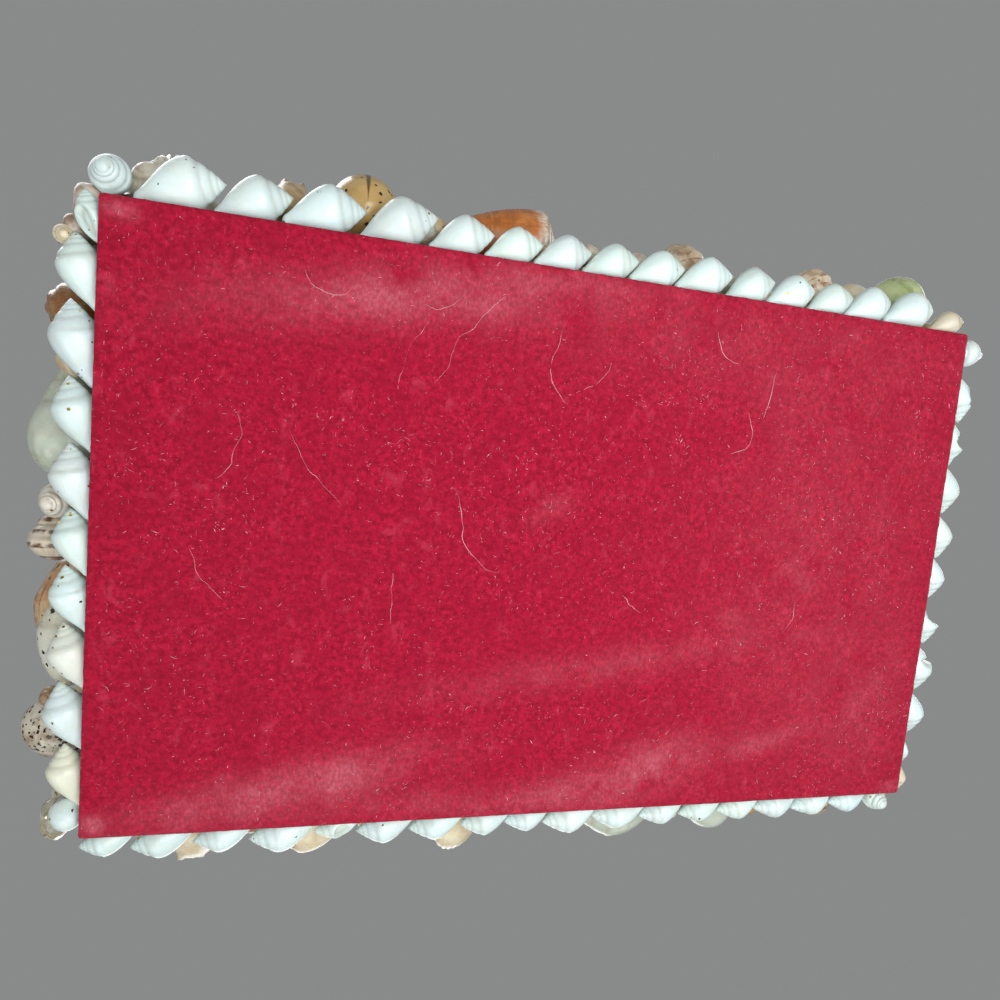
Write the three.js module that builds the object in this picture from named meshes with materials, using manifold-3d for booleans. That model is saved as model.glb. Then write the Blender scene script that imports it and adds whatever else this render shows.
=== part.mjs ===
// A shell box: a small wooden box with a lift-off lid, felted underneath and covered in sea shells.
//
// Millimetres, +Z up. The origin is the middle of the felt's underside, where the box stands on the
// table. +X runs along the length of the box, and +Y towards its back.

import * as THREE from "three";
import { mergeVertices } from "three/addons/utils/BufferGeometryUtils.js";
import Module from "manifold-3d";

const wasm = await Module();
wasm.setup();

// ------------------------------------------------------------------ driving dimensions

const BASE_LENGTH = 160;
const BASE_WIDTH = 99;
const FELT_THICK = 0.8;
const FELT_CORNER_RADIUS = 0.8;
const BOARD_THICK = 3;
const GLUE_LINE = 0.1; // between two boards
const SHELL_GAP = 0.3; // between a shell and the board it is glued to
const WALL_TOP = 36;
const LID_PLAY = 0.8; // how loosely the locating board sits inside the walls

const BASE_BOARD_BOTTOM = FELT_THICK + GLUE_LINE;
const WALL_BOTTOM = BASE_BOARD_BOTTOM + BOARD_THICK + GLUE_LINE;
const LID_BOTTOM = WALL_TOP + GLUE_LINE;
const LID_TOP = LID_BOTTOM + BOARD_THICK;

// The rope of white shells: each shell laps over the next, and its spire leans out from the wall.
const ROPE = {
  lap: 1.6,
  widthShare: 0.55, // of a shell's length
  leanDeg: 11,
  foot: 0.5, // height of the lowest shells above the table
  lidFoot: LID_BOTTOM - 0.9, // the lid's rope hides the seam under the lid
  beadHeights: [1, 5], // of the bead of glue, above the foot of the rope
};

// The bead of glue that a row of shells is pressed into, measured out from the board, and how far it
// stops short of each end of the side.
const BEAD = { from: 0.15, to: 0.75, endMargin: 2 };

// Spacing of the shells along each side of the foot, in laying order, in millimetres. A closing shell
// set on end fills what is left of the side.
const FOOT_SPACING = {
  left: [5.9, 9.9, 11.5, 10.2, 10.1, 8.9, 9.3, 9.6, 10.3, 8.6],
  front: [6.8, 10.7, 10, 8.6, 9.3, 9.3, 10.1, 9.5, 9.1, 9.2, 8.8, 9.6, 12, 11.4, 10.5, 10.7],
  right: [6, 7, 9.7, 10.8, 10.5, 8.7, 10, 10.1, 9.6, 9.6],
  back: [7.5, 9.7, 9, 10.8, 7.5, 9.5, 9.6, 8.5, 7.9, 10.4, 10, 8.9, 8.9, 8.9, 9.3, 9.3, 8.3],
};
const CLOSING_POSE = { left: "down", front: "down", right: "out", back: "down" };
const LID_SPACING = 11; // about as far apart on the lid, evenly

// The upper row of mixed shells on each wall, in laying order, evenly spaced.
const UPPER_ROW = {
  height: 29.2, // of the middle of the row above the table
  width: 10.6,
  lap: 1.2,
  beadHalfHeight: 3,
  kinds: {
    left: ["whelk", "olive", "nerite", "cone", "turban", "olive"],
    front: ["olive", "turban", "cone", "whelk", "nerite", "olive", "whelk", "cone", "turban"],
    right: ["cone", "nerite", "olive", "turban", "whelk", "olive"],
    back: ["turban", "cone", "olive", "nerite", "whelk", "cone", "olive", "turban", "whelk"],
  },
};

// The four sides, seen from outside: shells are laid along +X of the side's own frame, out is +Y.
const SIDES = [
  { side: "back", turns: 0, run: BASE_LENGTH, reach: BASE_WIDTH / 2 },
  { side: "left", turns: 1, run: BASE_WIDTH, reach: BASE_LENGTH / 2 },
  { side: "front", turns: 2, run: BASE_LENGTH, reach: BASE_WIDTH / 2 },
  { side: "right", turns: 3, run: BASE_WIDTH, reach: BASE_LENGTH / 2 },
];

// ------------------------------------------------------------------ materials

function finish(color, roughness) {
  return new THREE.MeshStandardMaterial({ color, roughness, metalness: 0 });
}

const FINISH = {
  felt: finish(0xa41c38, 0.95),
  wood: finish(0xb98f5f, 0.7),
  white: finish(0xeeece2, 0.25),
  cream: finish(0xe6d9bb, 0.3),
  tan: finish(0xc9a877, 0.35),
  orange: finish(0xc07a3c, 0.3),
  brown: finish(0x8a5c38, 0.35),
  green: finish(0xb9bf9a, 0.3),
};

// ------------------------------------------------------------------ joining solids

function toSolid(geometry) {
  const bare = geometry.clone();
  bare.deleteAttribute("normal");
  bare.deleteAttribute("uv");
  const merged = mergeVertices(bare, 1e-4);
  return new wasm.Manifold(
    new wasm.Mesh({
      numProp: 3,
      vertProperties: new Float32Array(merged.attributes.position.array),
      triVerts: new Uint32Array(merged.index.array),
    }),
  );
}

function toGeometry(solid) {
  const { vertProperties, triVerts } = solid.getMesh();
  const geometry = new THREE.BufferGeometry();
  geometry.setAttribute("position", new THREE.BufferAttribute(vertProperties, 3));
  geometry.setIndex(new THREE.BufferAttribute(triVerts, 1));
  const flat = geometry.toNonIndexed();
  flat.computeVertexNormals();
  return flat;
}

function joined(geometries) {
  return toGeometry(geometries.map(toSolid).reduce((whole, next) => whole.add(next)));
}

// ------------------------------------------------------------------ shells

// A coiled shell is turned about its own axis, which runs along +Y from the tip at 0 to the top of
// the spire at 1. Up to the shoulder its radius is a power of a sine of the way along, and above it
// the spire narrows as a power of what is left. A swell over 1 draws the tip out into a long hollow
// taper, and one well under 1 makes a plump shell.
const COILED = {
  dove: { shoulder: 0.62, swell: 1.25, narrowing: 1 },
  olive: { shoulder: 0.55, swell: 0.5, narrowing: 0.55 },
  cone: { shoulder: 0.8, swell: 0.95, narrowing: 1.1 },
  whelk: { shoulder: 0.58, swell: 1.5, narrowing: 1.15 },
  turban: { shoulder: 0.4, swell: 0.5, narrowing: 0.85 },
  nerite: { shoulder: 0.5, swell: 0.45, narrowing: 0.5 },
  auger: { shoulder: 0.3, swell: 0.6, narrowing: 0.95 },
};

// A cockle is one half of a bivalve: a dome over a fan-shaped rim, which points up its own +Y.
const COCKLE = { sides: 10, rings: 3, fan: 0.18 };

function coiledShell(kind, size, detail) {
  const { shoulder, swell, narrowing } = COILED[kind];
  const outline = [new THREE.Vector2(0, 0)];
  for (let ring = 1; ring <= detail.bodyRings; ring++) {
    const way = ring / detail.bodyRings;
    outline.push(new THREE.Vector2(Math.sin((Math.PI / 2) * way) ** swell, shoulder * way));
  }
  for (let ring = 1; ring < detail.spireRings; ring++) {
    const way = ring / detail.spireRings;
    outline.push(new THREE.Vector2((1 - way) ** narrowing, shoulder + (1 - shoulder) * way));
  }
  outline.push(new THREE.Vector2(0, 1));
  const shell = new THREE.LatheGeometry(outline, detail.sides);
  shell.translate(0, -0.5, 0);
  shell.scale(size.width / 2, size.length, size.depth / 2);
  return shell;
}

function cockle(size) {
  const outline = [new THREE.Vector2(0, 0), new THREE.Vector2(1, 0)];
  for (let ring = 1; ring < COCKLE.rings; ring++) {
    const rise = ((Math.PI / 2) * ring) / COCKLE.rings;
    outline.push(new THREE.Vector2(Math.cos(rise), Math.sin(rise)));
  }
  outline.push(new THREE.Vector2(0, 1));
  const dome = new THREE.LatheGeometry(outline, COCKLE.sides);
  dome.rotateX(Math.PI / 2); // the dome now rises along +Z, with the rim in the XY plane
  const points = dome.attributes.position;
  for (let i = 0; i < points.count; i++) {
    points.setX(i, points.getX(i) * (1 + COCKLE.fan * points.getY(i)));
  }
  dome.scale(size.width / 2 / (1 + COCKLE.fan / 2), size.length / 2, size.depth);
  dome.translate(0, 0, -size.depth / 2);
  return dome;
}

// Puts a shell where `middle` says, with its axis (its own +Y) along `axis` and its face (+Z) turned
// towards `face`.
function placed(shell, middle, axis, face) {
  const y = axis.clone().normalize();
  const x = new THREE.Vector3().crossVectors(y, face).normalize();
  const z = new THREE.Vector3().crossVectors(x, y);
  shell.applyMatrix4(new THREE.Matrix4().makeBasis(x, y, z).setPosition(middle));
  return shell;
}

// ------------------------------------------------------------------ rows of shells

const ROW_DETAIL = { sides: 6, bodyRings: 2, spireRings: 2 };
const OUT = new THREE.Vector3(0, 1, 0); // away from the wall, in a side's own frame
const UP = new THREE.Vector3(0, 0, 1);

// A row's bead of glue, from `bottom` to `top`. It reaches every shell of the row, so the row is one solid.
function glueBead(run, bottom, top) {
  const bead = new THREE.BoxGeometry(run - 2 * BEAD.endMargin, BEAD.to - BEAD.from, top - bottom);
  return bead.translate(0, (BEAD.from + BEAD.to) / 2, (bottom + top) / 2);
}

// One side's run of white shells, laid head to tail along the foot of a wall or the edge of the lid.
function whiteRope(run, spacing, foot, closingPose) {
  const lean = THREE.MathUtils.degToRad(ROPE.leanDeg);
  const axis = new THREE.Vector3(-Math.cos(lean), Math.sin(lean), 0);
  const pieces = [glueBead(run, ...ROPE.beadHeights.map((height) => foot + height))];
  let start = -run / 2;
  for (const step of spacing) {
    const length = step + ROPE.lap;
    const width = length * ROPE.widthShare;
    const bellyToMiddle = (COILED.dove.shoulder - 0.5) * length * Math.sin(lean);
    const middle = new THREE.Vector3(
      start + step / 2,
      SHELL_GAP + width / 2 - bellyToMiddle,
      foot + width / 2,
    );
    pieces.push(placed(coiledShell("dove", { length, width, depth: width }, ROW_DETAIL), middle, axis, OUT));
    start += step;
  }
  if (closingPose) {
    pieces.push(closingShell(start, run / 2 - start, foot, closingPose));
  }
  return joined(pieces);
}

const CLOSING_SHELL = { length: 7, leastWidth: 4.4 };

// The last shell of a side stands on its tip with the spire down, or points straight out.
function closingShell(start, room, foot, pose) {
  const down = pose === "down";
  const width = Math.max(room, CLOSING_SHELL.leastWidth);
  const { length } = CLOSING_SHELL;
  const middle = new THREE.Vector3(
    start + room / 2,
    SHELL_GAP + (down ? width : length) / 2,
    foot + (down ? length : width) / 2,
  );
  const shell = coiledShell(down ? "turban" : "dove", { length, width, depth: width }, ROW_DETAIL);
  return down ? placed(shell, middle, UP.clone().negate(), OUT) : placed(shell, middle, OUT, UP);
}

function evenSpacing(run, about) {
  const count = Math.round(run / about);
  return new Array(count).fill(run / count);
}

// The upper row of a wall: mixed shells lying end to end, every other one turned about.
function upperRow(run, kinds) {
  const { height, width, lap, beadHalfHeight } = UPPER_ROW;
  const step = run / kinds.length;
  const pieces = [glueBead(run, height - beadHalfHeight, height + beadHalfHeight)];
  kinds.forEach((kind, i) => {
    const shell = coiledShell(kind, { length: step + lap, width, depth: width }, ROW_DETAIL);
    const middle = new THREE.Vector3(step * (i + 0.5) - run / 2, SHELL_GAP + width / 2, height);
    pieces.push(placed(shell, middle, new THREE.Vector3(i % 2 ? 1 : -1, 0, 0), OUT));
  });
  return joined(pieces);
}

// ------------------------------------------------------------------ the larger shells

// The larger shells in the lower row of each wall: name, kind, [along the side, height] of the middle,
// [length, width, depth off the wall], degrees that the spire is turned up from pointing back along
// the side, and finish.
const WALL_SHELLS = {
  front: [
    ["ribbed_cockle", "cockle", [72, 13.4], [12.5, 12.5, 11], 90, "cream"],
    ["tan_auger", "auger", [54, 15], [15, 7.6, 10.5], 82, "tan"],
    ["dotted_cowrie", "nerite", [41.9, 15.4], [16, 12.6, 12.7], 90, "tan"],
    ["orange_cone", "cone", [17, 14], [23.6, 12.4, 12.7], 4, "orange"],
    ["streaked_whelk", "whelk", [-19.7, 14.4], [14.5, 11.4, 12], 52, "brown"],
    ["striped_whelk", "whelk", [-50.4, 14], [13.8, 11, 11.6], 24, "orange"],
    ["pale_dove", "dove", [-62.2, 14.2], [13, 8.4, 10], 86, "tan"],
    ["green_nerite", "nerite", [-73.6, 14.2], [13.5, 12.4, 12.2], 14, "green"],
  ],
  left: [
    ["ochre_whelk", "whelk", [-34, 14.6], [14, 9.2, 11], 78, "brown"],
    ["green_olive", "olive", [-16.9, 12.8], [20.6, 9.6, 12.2], 2, "green"],
    ["striped_turban", "turban", [1.8, 13.6], [9.8, 8.6, 12], 30, "brown"],
    ["orange_auger", "auger", [17.4, 19.4], [20.4, 8.4, 12.7], -2, "orange"],
    ["speckled_olive", "olive", [19.6, 11], [17.2, 7.4, 9.6], 2, "white"],
    ["spotted_nerite", "nerite", [36.2, 14.6], [12, 11.6, 12.7], 62, "white"],
  ],
  back: [
    ["knobbed_whelk", "whelk", [-64, 13.4], [12, 9.8, 12.4], 64, "cream"],
    ["cream_olive", "olive", [-45, 12.2], [13, 9, 11.4], 0, "cream"],
    ["cream_turban", "turban", [-18, 13.8], [13.4, 12.6, 12.7], 30, "cream"],
    ["green_olive", "olive", [18, 12.9], [17.4, 10, 12.6], 2, "green"],
    ["grey_nerite", "nerite", [41.4, 13.6], [11.6, 10.8, 12.4], 88, "green"],
    ["pale_whelk", "whelk", [52.4, 14.6], [13.6, 9, 11.4], 84, "orange"],
    ["small_turban", "turban", [67.4, 13.6], [12, 11.4, 10.6], 20, "brown"],
  ],
  right: [
    ["brown_cone", "cone", [-34, 14.2], [19, 12, 12.7], 2, "brown"],
    ["cream_turban", "turban", [-14.6, 14.4], [13, 12.4, 12.2], 40, "cream"],
    ["tan_olive", "olive", [2.6, 16.6], [17.6, 9.6, 11], 88, "tan"],
    ["spotted_cowrie", "nerite", [19, 14.2], [15, 11.4, 12], 4, "white"],
    ["orange_whelk", "whelk", [37, 14.6], [15, 11, 11.4], 36, "orange"],
  ],
};

const WALL_DETAIL = { sides: 8, bodyRings: 3, spireRings: 2 };

function largeShell(kind, [length, width, depth]) {
  const size = { length, width, depth };
  return kind === "cockle" ? cockle(size) : coiledShell(kind, size, WALL_DETAIL);
}

function wallShell(kind, [along, height], size, turnDeg) {
  const turn = THREE.MathUtils.degToRad(turnDeg);
  const axis = new THREE.Vector3(-Math.cos(turn), 0, Math.sin(turn));
  const middle = new THREE.Vector3(along, SHELL_GAP + size[2] / 2, height);
  return placed(largeShell(kind, size), middle, axis, OUT);
}

// On the lid six olives lie round an upright turban, a cockle fans out to each end, and a cone points
// out to each corner.
const LID_SHELLS = {
  turban: { kind: "turban", size: [15, 19, 19] },
  petal: { kind: "olive", size: [20, 10.4, 9.6], count: 6, radius: 21 },
  cockle: { kind: "cockle", size: [25, 27, 9], distance: 53 },
  corner: { kind: "cone", size: [25, 13, 11.5], at: [56, 31], turn: 30 },
};

// A shell that lies on the lid at (x, y), its spire pointing `turn` radians round from +X.
function lidShell({ kind, size }, x, y, turn) {
  const axis = new THREE.Vector3(Math.cos(turn), Math.sin(turn), 0);
  const middle = new THREE.Vector3(x, y, LID_TOP + SHELL_GAP + size[2] / 2);
  return placed(largeShell(kind, size), middle, axis, UP);
}

function lidTurban() {
  const [length, width, depth] = LID_SHELLS.turban.size;
  const shell = coiledShell("turban", { length, width, depth }, { ...WALL_DETAIL, sides: 12 });
  const middle = new THREE.Vector3(0, 0, LID_TOP + SHELL_GAP + length / 2);
  return placed(shell, middle, UP, OUT);
}

// ------------------------------------------------------------------ the box

function board(length, width, thick, x, y, bottom) {
  const box = new THREE.BoxGeometry(length, width, thick);
  box.translate(x, y, bottom + thick / 2);
  return box;
}

function feltSheet() {
  const x = BASE_LENGTH / 2 - FELT_CORNER_RADIUS;
  const y = BASE_WIDTH / 2 - FELT_CORNER_RADIUS;
  const outline = new THREE.Shape();
  outline.absarc(x, y, FELT_CORNER_RADIUS, 0, Math.PI / 2);
  outline.absarc(-x, y, FELT_CORNER_RADIUS, Math.PI / 2, Math.PI);
  outline.absarc(-x, -y, FELT_CORNER_RADIUS, Math.PI, 1.5 * Math.PI);
  outline.absarc(x, -y, FELT_CORNER_RADIUS, 1.5 * Math.PI, 2 * Math.PI);
  return new THREE.ExtrudeGeometry(outline, { depth: FELT_THICK, bevelEnabled: false, curveSegments: 2 });
}

const box = new THREE.Group();

function add(parent, name, geometry, material) {
  const mesh = new THREE.Mesh(geometry, material);
  mesh.name = name;
  parent.add(mesh);
}

const wallHeight = WALL_TOP - WALL_BOTTOM;
const endWallWidth = BASE_WIDTH - 2 * (BOARD_THICK + GLUE_LINE);
const longWallY = (BASE_WIDTH - BOARD_THICK) / 2;
const endWallX = (BASE_LENGTH - BOARD_THICK) / 2;
const inset = 2 * (BOARD_THICK + LID_PLAY);

add(box, "felt_underside", feltSheet(), FINISH.felt);
add(box, "base_board", board(BASE_LENGTH, BASE_WIDTH, BOARD_THICK, 0, 0, BASE_BOARD_BOTTOM), FINISH.wood);
add(box, "back_wall", board(BASE_LENGTH, BOARD_THICK, wallHeight, 0, longWallY, WALL_BOTTOM), FINISH.wood);
add(box, "front_wall", board(BASE_LENGTH, BOARD_THICK, wallHeight, 0, -longWallY, WALL_BOTTOM), FINISH.wood);
add(box, "left_wall", board(BOARD_THICK, endWallWidth, wallHeight, -endWallX, 0, WALL_BOTTOM), FINISH.wood);
add(box, "right_wall", board(BOARD_THICK, endWallWidth, wallHeight, endWallX, 0, WALL_BOTTOM), FINISH.wood);
add(box, "lid_board", board(BASE_LENGTH, BASE_WIDTH, BOARD_THICK, 0, 0, LID_BOTTOM), FINISH.wood);
add(
  box,
  "lid_locating_board",
  board(BASE_LENGTH - inset, BASE_WIDTH - inset, BOARD_THICK, 0, 0, WALL_TOP - BOARD_THICK),
  FINISH.wood,
);

for (const { side, turns, run, reach } of SIDES) {
  const turn = (Math.PI / 2) * turns;
  const group = new THREE.Group();
  group.rotation.z = turn;
  group.position.set(-reach * Math.sin(turn), reach * Math.cos(turn), 0);
  box.add(group);

  const foot = whiteRope(run, FOOT_SPACING[side], ROPE.foot, CLOSING_POSE[side]);
  add(group, `${side}_foot_rope`, foot, FINISH.white);
  add(group, `${side}_lid_rope`, whiteRope(run, evenSpacing(run, LID_SPACING), ROPE.lidFoot), FINISH.white);
  add(group, `${side}_wall_upper_row`, upperRow(run, UPPER_ROW.kinds[side]), FINISH.cream);
  for (const [name, kind, at, size, turnDeg, colour] of WALL_SHELLS[side]) {
    add(group, `${side}_wall_${name}`, wallShell(kind, at, size, turnDeg), FINISH[colour]);
  }
}

const { petal, cockle: fan, corner } = LID_SHELLS;
add(box, "lid_turban", lidTurban(), FINISH.brown);
for (let i = 0; i < petal.count; i++) {
  const turn = ((2 * Math.PI) / petal.count) * (i + 0.5);
  const shell = lidShell(petal, petal.radius * Math.cos(turn), petal.radius * Math.sin(turn), turn);
  add(box, `lid_olive_${i + 1}`, shell, FINISH.cream);
}
for (const [end, sign] of [["right", 1], ["left", -1]]) {
  const outward = sign > 0 ? 0 : Math.PI;
  add(box, `lid_cockle_${end}`, lidShell(fan, sign * fan.distance, 0, outward), FINISH.cream);
  for (const [edge, across] of [["back", 1], ["front", -1]]) {
    const slant = THREE.MathUtils.degToRad(corner.turn);
    const turn = Math.atan2(across * Math.sin(slant), sign * Math.cos(slant));
    const shell = lidShell(corner, sign * corner.at[0], across * corner.at[1], turn);
    add(box, `lid_cone_${edge}_${end}`, shell, FINISH.orange);
  }
}

export default box;
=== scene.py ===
# %% [markdown]
# # A shell box, seen from underneath
# The object is a small wooden box with a lift-off lid. Crimson felt covers its underside, a rope of
# small white shells runs round the foot, and larger mixed shells are glued to the walls and the lid.
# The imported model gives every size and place. This lesson keeps its boards and builds each shell, the
# felt and the glue again, as surfaces worked out with numpy.

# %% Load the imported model
import math

import bpy
import numpy as np
from mathutils import Matrix, Vector


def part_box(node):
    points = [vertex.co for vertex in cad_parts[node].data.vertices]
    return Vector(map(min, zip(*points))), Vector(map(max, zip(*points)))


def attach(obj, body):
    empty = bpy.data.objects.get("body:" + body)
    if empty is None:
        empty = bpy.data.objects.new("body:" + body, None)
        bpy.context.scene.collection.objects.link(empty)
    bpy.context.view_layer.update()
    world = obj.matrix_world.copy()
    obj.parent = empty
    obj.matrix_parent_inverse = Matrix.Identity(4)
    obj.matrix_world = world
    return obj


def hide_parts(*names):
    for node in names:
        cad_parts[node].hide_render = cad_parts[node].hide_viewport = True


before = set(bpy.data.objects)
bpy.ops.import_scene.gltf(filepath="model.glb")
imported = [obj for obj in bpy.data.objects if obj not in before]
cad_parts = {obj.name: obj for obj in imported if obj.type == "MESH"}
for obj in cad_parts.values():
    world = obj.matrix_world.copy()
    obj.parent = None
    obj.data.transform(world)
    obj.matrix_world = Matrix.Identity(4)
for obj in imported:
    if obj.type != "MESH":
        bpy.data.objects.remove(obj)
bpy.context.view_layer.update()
print("the packed model has", len(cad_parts), "nodes")

# %% [markdown]
# ## Working in millimetres
# Blender measures in metres. The shells are only a few millimetres long, so every shape is worked out
# in millimetres and turned into metres once, when its mesh is made. Each random draw comes from one
# generator with a fixed seed, which makes the box the same each time.

# %% Units, chance and the sizes of the box
MM = 0.001
dice = np.random.default_rng(1495)


def node_box(node):
    """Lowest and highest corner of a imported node, in millimetres."""
    low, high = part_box(node)
    return np.array(low) / MM, np.array(high) / MM


felt_low, felt_high = node_box("felt_underside")
LID_TOP = node_box("lid_board")[1][2]
HALF_LENGTH, HALF_WIDTH = node_box("base_board")[1][:2]
UP, OUT = np.array([0.0, 0.0, 1.0]), np.array([0.0, 1.0, 0.0])
print("the box is", round(2 * HALF_LENGTH, 1), "by", round(2 * HALF_WIDTH, 1), "mm")

# %% [markdown]
# ## Patches
# A patch is a bundle of arrays: points, faces, and a few values at each point that the materials read.
# Shells are worked out as patches, set in place, joined into one piece for each row, and only then
# written into a mesh.
#
# * `own` is the point in the shell's own frame in millimetres, moved by a random step, so that no two
#   shells show the same mottling.
# * `turned` holds the cosine and sine of the angle round the shell, and how far along it the point is.
# * `tint` is the shell's own colour, and `hollow` is 1 deep in a groove or a break, where it is darkened as
#   painted shade.

# %% Join and step
def smooth_step(low, high, value):
    """0 below low, 1 above high, and 3w^2 - 2w^3 in between."""
    way = np.clip((value - low) / (high - low), 0, 1)
    return way * way * (3 - 2 * way)


def joined(patches):
    """One patch of many: arrays are stacked, and faces are moved on by the points before them."""
    starts = np.cumsum([0] + [len(p["points"]) for p in patches[:-1]])
    whole = {key: np.concatenate([p[key] for p in patches]) for key in patches[0] if key != "faces"}
    whole["faces"] = [
        (faces + start, turns)
        for p, start in zip(patches, starts)
        for faces, turns in p["faces"]
    ]
    return whole


# %% From a patch to a piece of the box
def make_piece(name, patch, material, replaces=()):
    """Writes a patch into a mesh object that rides on the box."""
    mesh = bpy.data.meshes.new(name)
    points = patch["points"] * MM
    corners = np.concatenate([faces.ravel() for faces, _ in patch["faces"]])
    sides = np.concatenate([np.full(len(faces), faces.shape[1]) for faces, _ in patch["faces"]])
    mesh.vertices.add(len(points))
    mesh.vertices.foreach_set("co", points.astype(np.float32).ravel())
    mesh.loops.add(len(corners))
    mesh.loops.foreach_set("vertex_index", corners.astype(np.int32))
    mesh.polygons.add(len(sides))
    mesh.polygons.foreach_set("loop_start", np.concatenate([[0], np.cumsum(sides)[:-1]]).astype(np.int32))
    mesh.polygons.foreach_set("use_smooth", np.full(len(sides), patch.get("smooth", True)))
    if patch["faces"][0][1] is not None:
        coil = mesh.uv_layers.new(name="coil")
        turns = np.concatenate([turns.reshape(-1, 2) for _, turns in patch["faces"]])
        coil.data.foreach_set("uv", turns.astype(np.float32).ravel())
    for key, kind, part in (
        ("own", "FLOAT_VECTOR", "vector"),
        ("turned", "FLOAT_VECTOR", "vector"),
        ("tint", "FLOAT_COLOR", "color"),
        ("hollow", "FLOAT", "value"),
        ("rub", "FLOAT", "value"),
    ):
        if key in patch:
            layer = mesh.attributes.new(key, kind, "POINT")
            layer.data.foreach_set(part, patch[key].astype(np.float32).ravel())
    mesh.update(calc_edges=True)
    mesh.validate()
    piece = bpy.data.objects.new(name, mesh)
    bpy.context.scene.collection.objects.link(piece)
    mesh.materials.append(material)
    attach(piece, "root")
    if replaces:
        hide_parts(*replaces)
    return piece


# %% [markdown]
# ## Wiring materials
# A material is a net of nodes. These helpers place a node and join its sockets in one line: an input
# that is given a socket is linked to it, and any other value is written on the socket itself.

# %% Node helpers
def wire(tree, socket, value):
    """Links the value if it is a socket, and else writes it on this one."""
    if isinstance(value, bpy.types.NodeSocket):
        tree.links.new(value, socket)
    else:
        socket.default_value = value


def put(tree, kind, settings=None, **inputs):
    """A shader node. Inputs are named as in Blender, with _ for a space."""
    node = tree.nodes.new("ShaderNode" + kind)
    for name, value in (settings or {}).items():
        setattr(node, name, value)
    for name, value in inputs.items():
        wire(tree, node.inputs[name.replace("_", " ")], value)
    return node


def calc(tree, operation, a, b=0.0, c=0.0):
    """One sum, by the name that Blender gives it."""
    node = tree.nodes.new("ShaderNodeMath")
    node.operation = operation
    for socket, value in zip(node.inputs, (a, b, c)):
        wire(tree, socket, value)
    return node.outputs[0]


def times(tree, a, b):
    return calc(tree, "MULTIPLY", a, b)


def plus(tree, a, b):
    return calc(tree, "ADD", a, b)


def blend(tree, share, a, b):
    """Colour a where share is 0, and b where it is 1."""
    node = tree.nodes.new("ShaderNodeMix")
    node.data_type = "RGBA"
    for place, value in ((0, share), (6, a), (7, b)):
        wire(tree, node.inputs[place], value)
    return node.outputs[2]


def rise(tree, value, low, high):
    """0 while value is under low, 1 above high, and a smooth step between."""
    node = put(tree, "MapRange", {"interpolation_type": "SMOOTHSTEP"}, Value=value)
    node.inputs["From Min"].default_value = low
    node.inputs["From Max"].default_value = high
    return node.outputs[0]


def noise(tree, vector, scale, detail=2.0, rough=0.5, warp=0.0):
    """A cloudy value about 0.5, with `scale` clouds to a unit of the vector."""
    node = put(tree, "TexNoise", None, Vector=vector, Scale=scale, Detail=detail)
    node.inputs["Roughness"].default_value = rough
    node.inputs["Distortion"].default_value = warp
    return node.outputs[0]


def attribute(tree, name, output="Vector"):
    return put(tree, "Attribute", {"attribute_name": name}).outputs[output]


def scaled(tree, vector, x, y, z):
    """The vector times (x, y, z): a noise on it is drawn out where the factor is small."""
    node = put(tree, "VectorMath", {"operation": "MULTIPLY"})
    wire(tree, node.inputs[0], vector)
    node.inputs[1].default_value = (x, y, z)
    return node.outputs[0]


def strayed(tree, vector, scale, detail, reach):
    """The vector moved by a noise on it: vector + reach x the noise's colour."""
    moved_by = put(tree, "TexNoise", None, Vector=vector, Scale=scale, Detail=detail).outputs["Color"]
    node = put(tree, "VectorMath", {"operation": "MULTIPLY_ADD"})
    for socket, value in zip(node.inputs, (moved_by, reach, vector)):
        wire(tree, socket, value)
    return node.outputs[0]


# %% Colours, groups and materials
def colour(red, green, blue):
    """A colour picked as it looks on a screen, from 0 to 255, as the linear light that shaders use."""
    seen = np.array([red, green, blue]) / 255
    light = np.where(seen <= 0.04045, seen / 12.92, ((seen + 0.055) / 1.055) ** 2.4)
    return (*light.tolist(), 1.0)


def two_tone(tree, mask, low, high, first, second):
    """The first screen colour where the mask is under low, and the second where it is over high."""
    return blend(tree, rise(tree, mask, low, high), colour(*first), colour(*second))


def veiled(tree, base, mask, low, high, share, veil):
    """The base colour, with at most that share of a screen colour laid over it as the mask rises."""
    return blend(tree, times(tree, rise(tree, mask, low, high), share), base, colour(*veil))


def new_group(name, inputs, outputs):
    """A shader node group. Inputs are (name, kind, value) and outputs are (name, kind)."""
    group = bpy.data.node_groups.new(name, "ShaderNodeTree")
    for label, kind, value in inputs:
        socket = group.interface.new_socket(label, in_out="INPUT", socket_type="NodeSocket" + kind)
        socket.default_value = value
    for label, kind in outputs:
        group.interface.new_socket(label, in_out="OUTPUT", socket_type="NodeSocket" + kind)
    start = group.nodes.new("NodeGroupInput")
    end = group.nodes.new("NodeGroupOutput")
    return group, start.outputs, end.inputs


def use_group(tree, group, **inputs):
    """Places the group with these inputs, and returns its outputs."""
    node = tree.nodes.new("ShaderNodeGroup")
    node.node_tree = group
    for name, value in inputs.items():
        wire(tree, node.inputs[name.replace("_", " ")], value)
    return node.outputs


def new_material(name):
    """A material, its tree of nodes, and its shader."""
    material = bpy.data.materials.new(name)
    material.use_nodes = True
    tree = material.node_tree
    shader = next(n for n in tree.nodes if n.type == "BSDF_PRINCIPLED")
    return material, tree, shader


def object_point(tree):
    """The point on the object, in metres."""
    return put(tree, "TexCoord").outputs["Object"]


def finished(tree, shader, height=None, strength=0.0, distance=0.0, **inputs):
    """Sets the shader's inputs, and bumps its surface where a height is given."""
    for name, value in inputs.items():
        wire(tree, shader.inputs[name.replace("_", " ")], value)
    if height is not None:
        bump = put(tree, "Bump", None, Height=height, Strength=strength, Distance=distance)
        wire(tree, shader.inputs["Normal"], bump.outputs[0])


print("a middle grey on screen is", round(colour(128, 128, 128)[0], 3), "in linear light")


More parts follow.
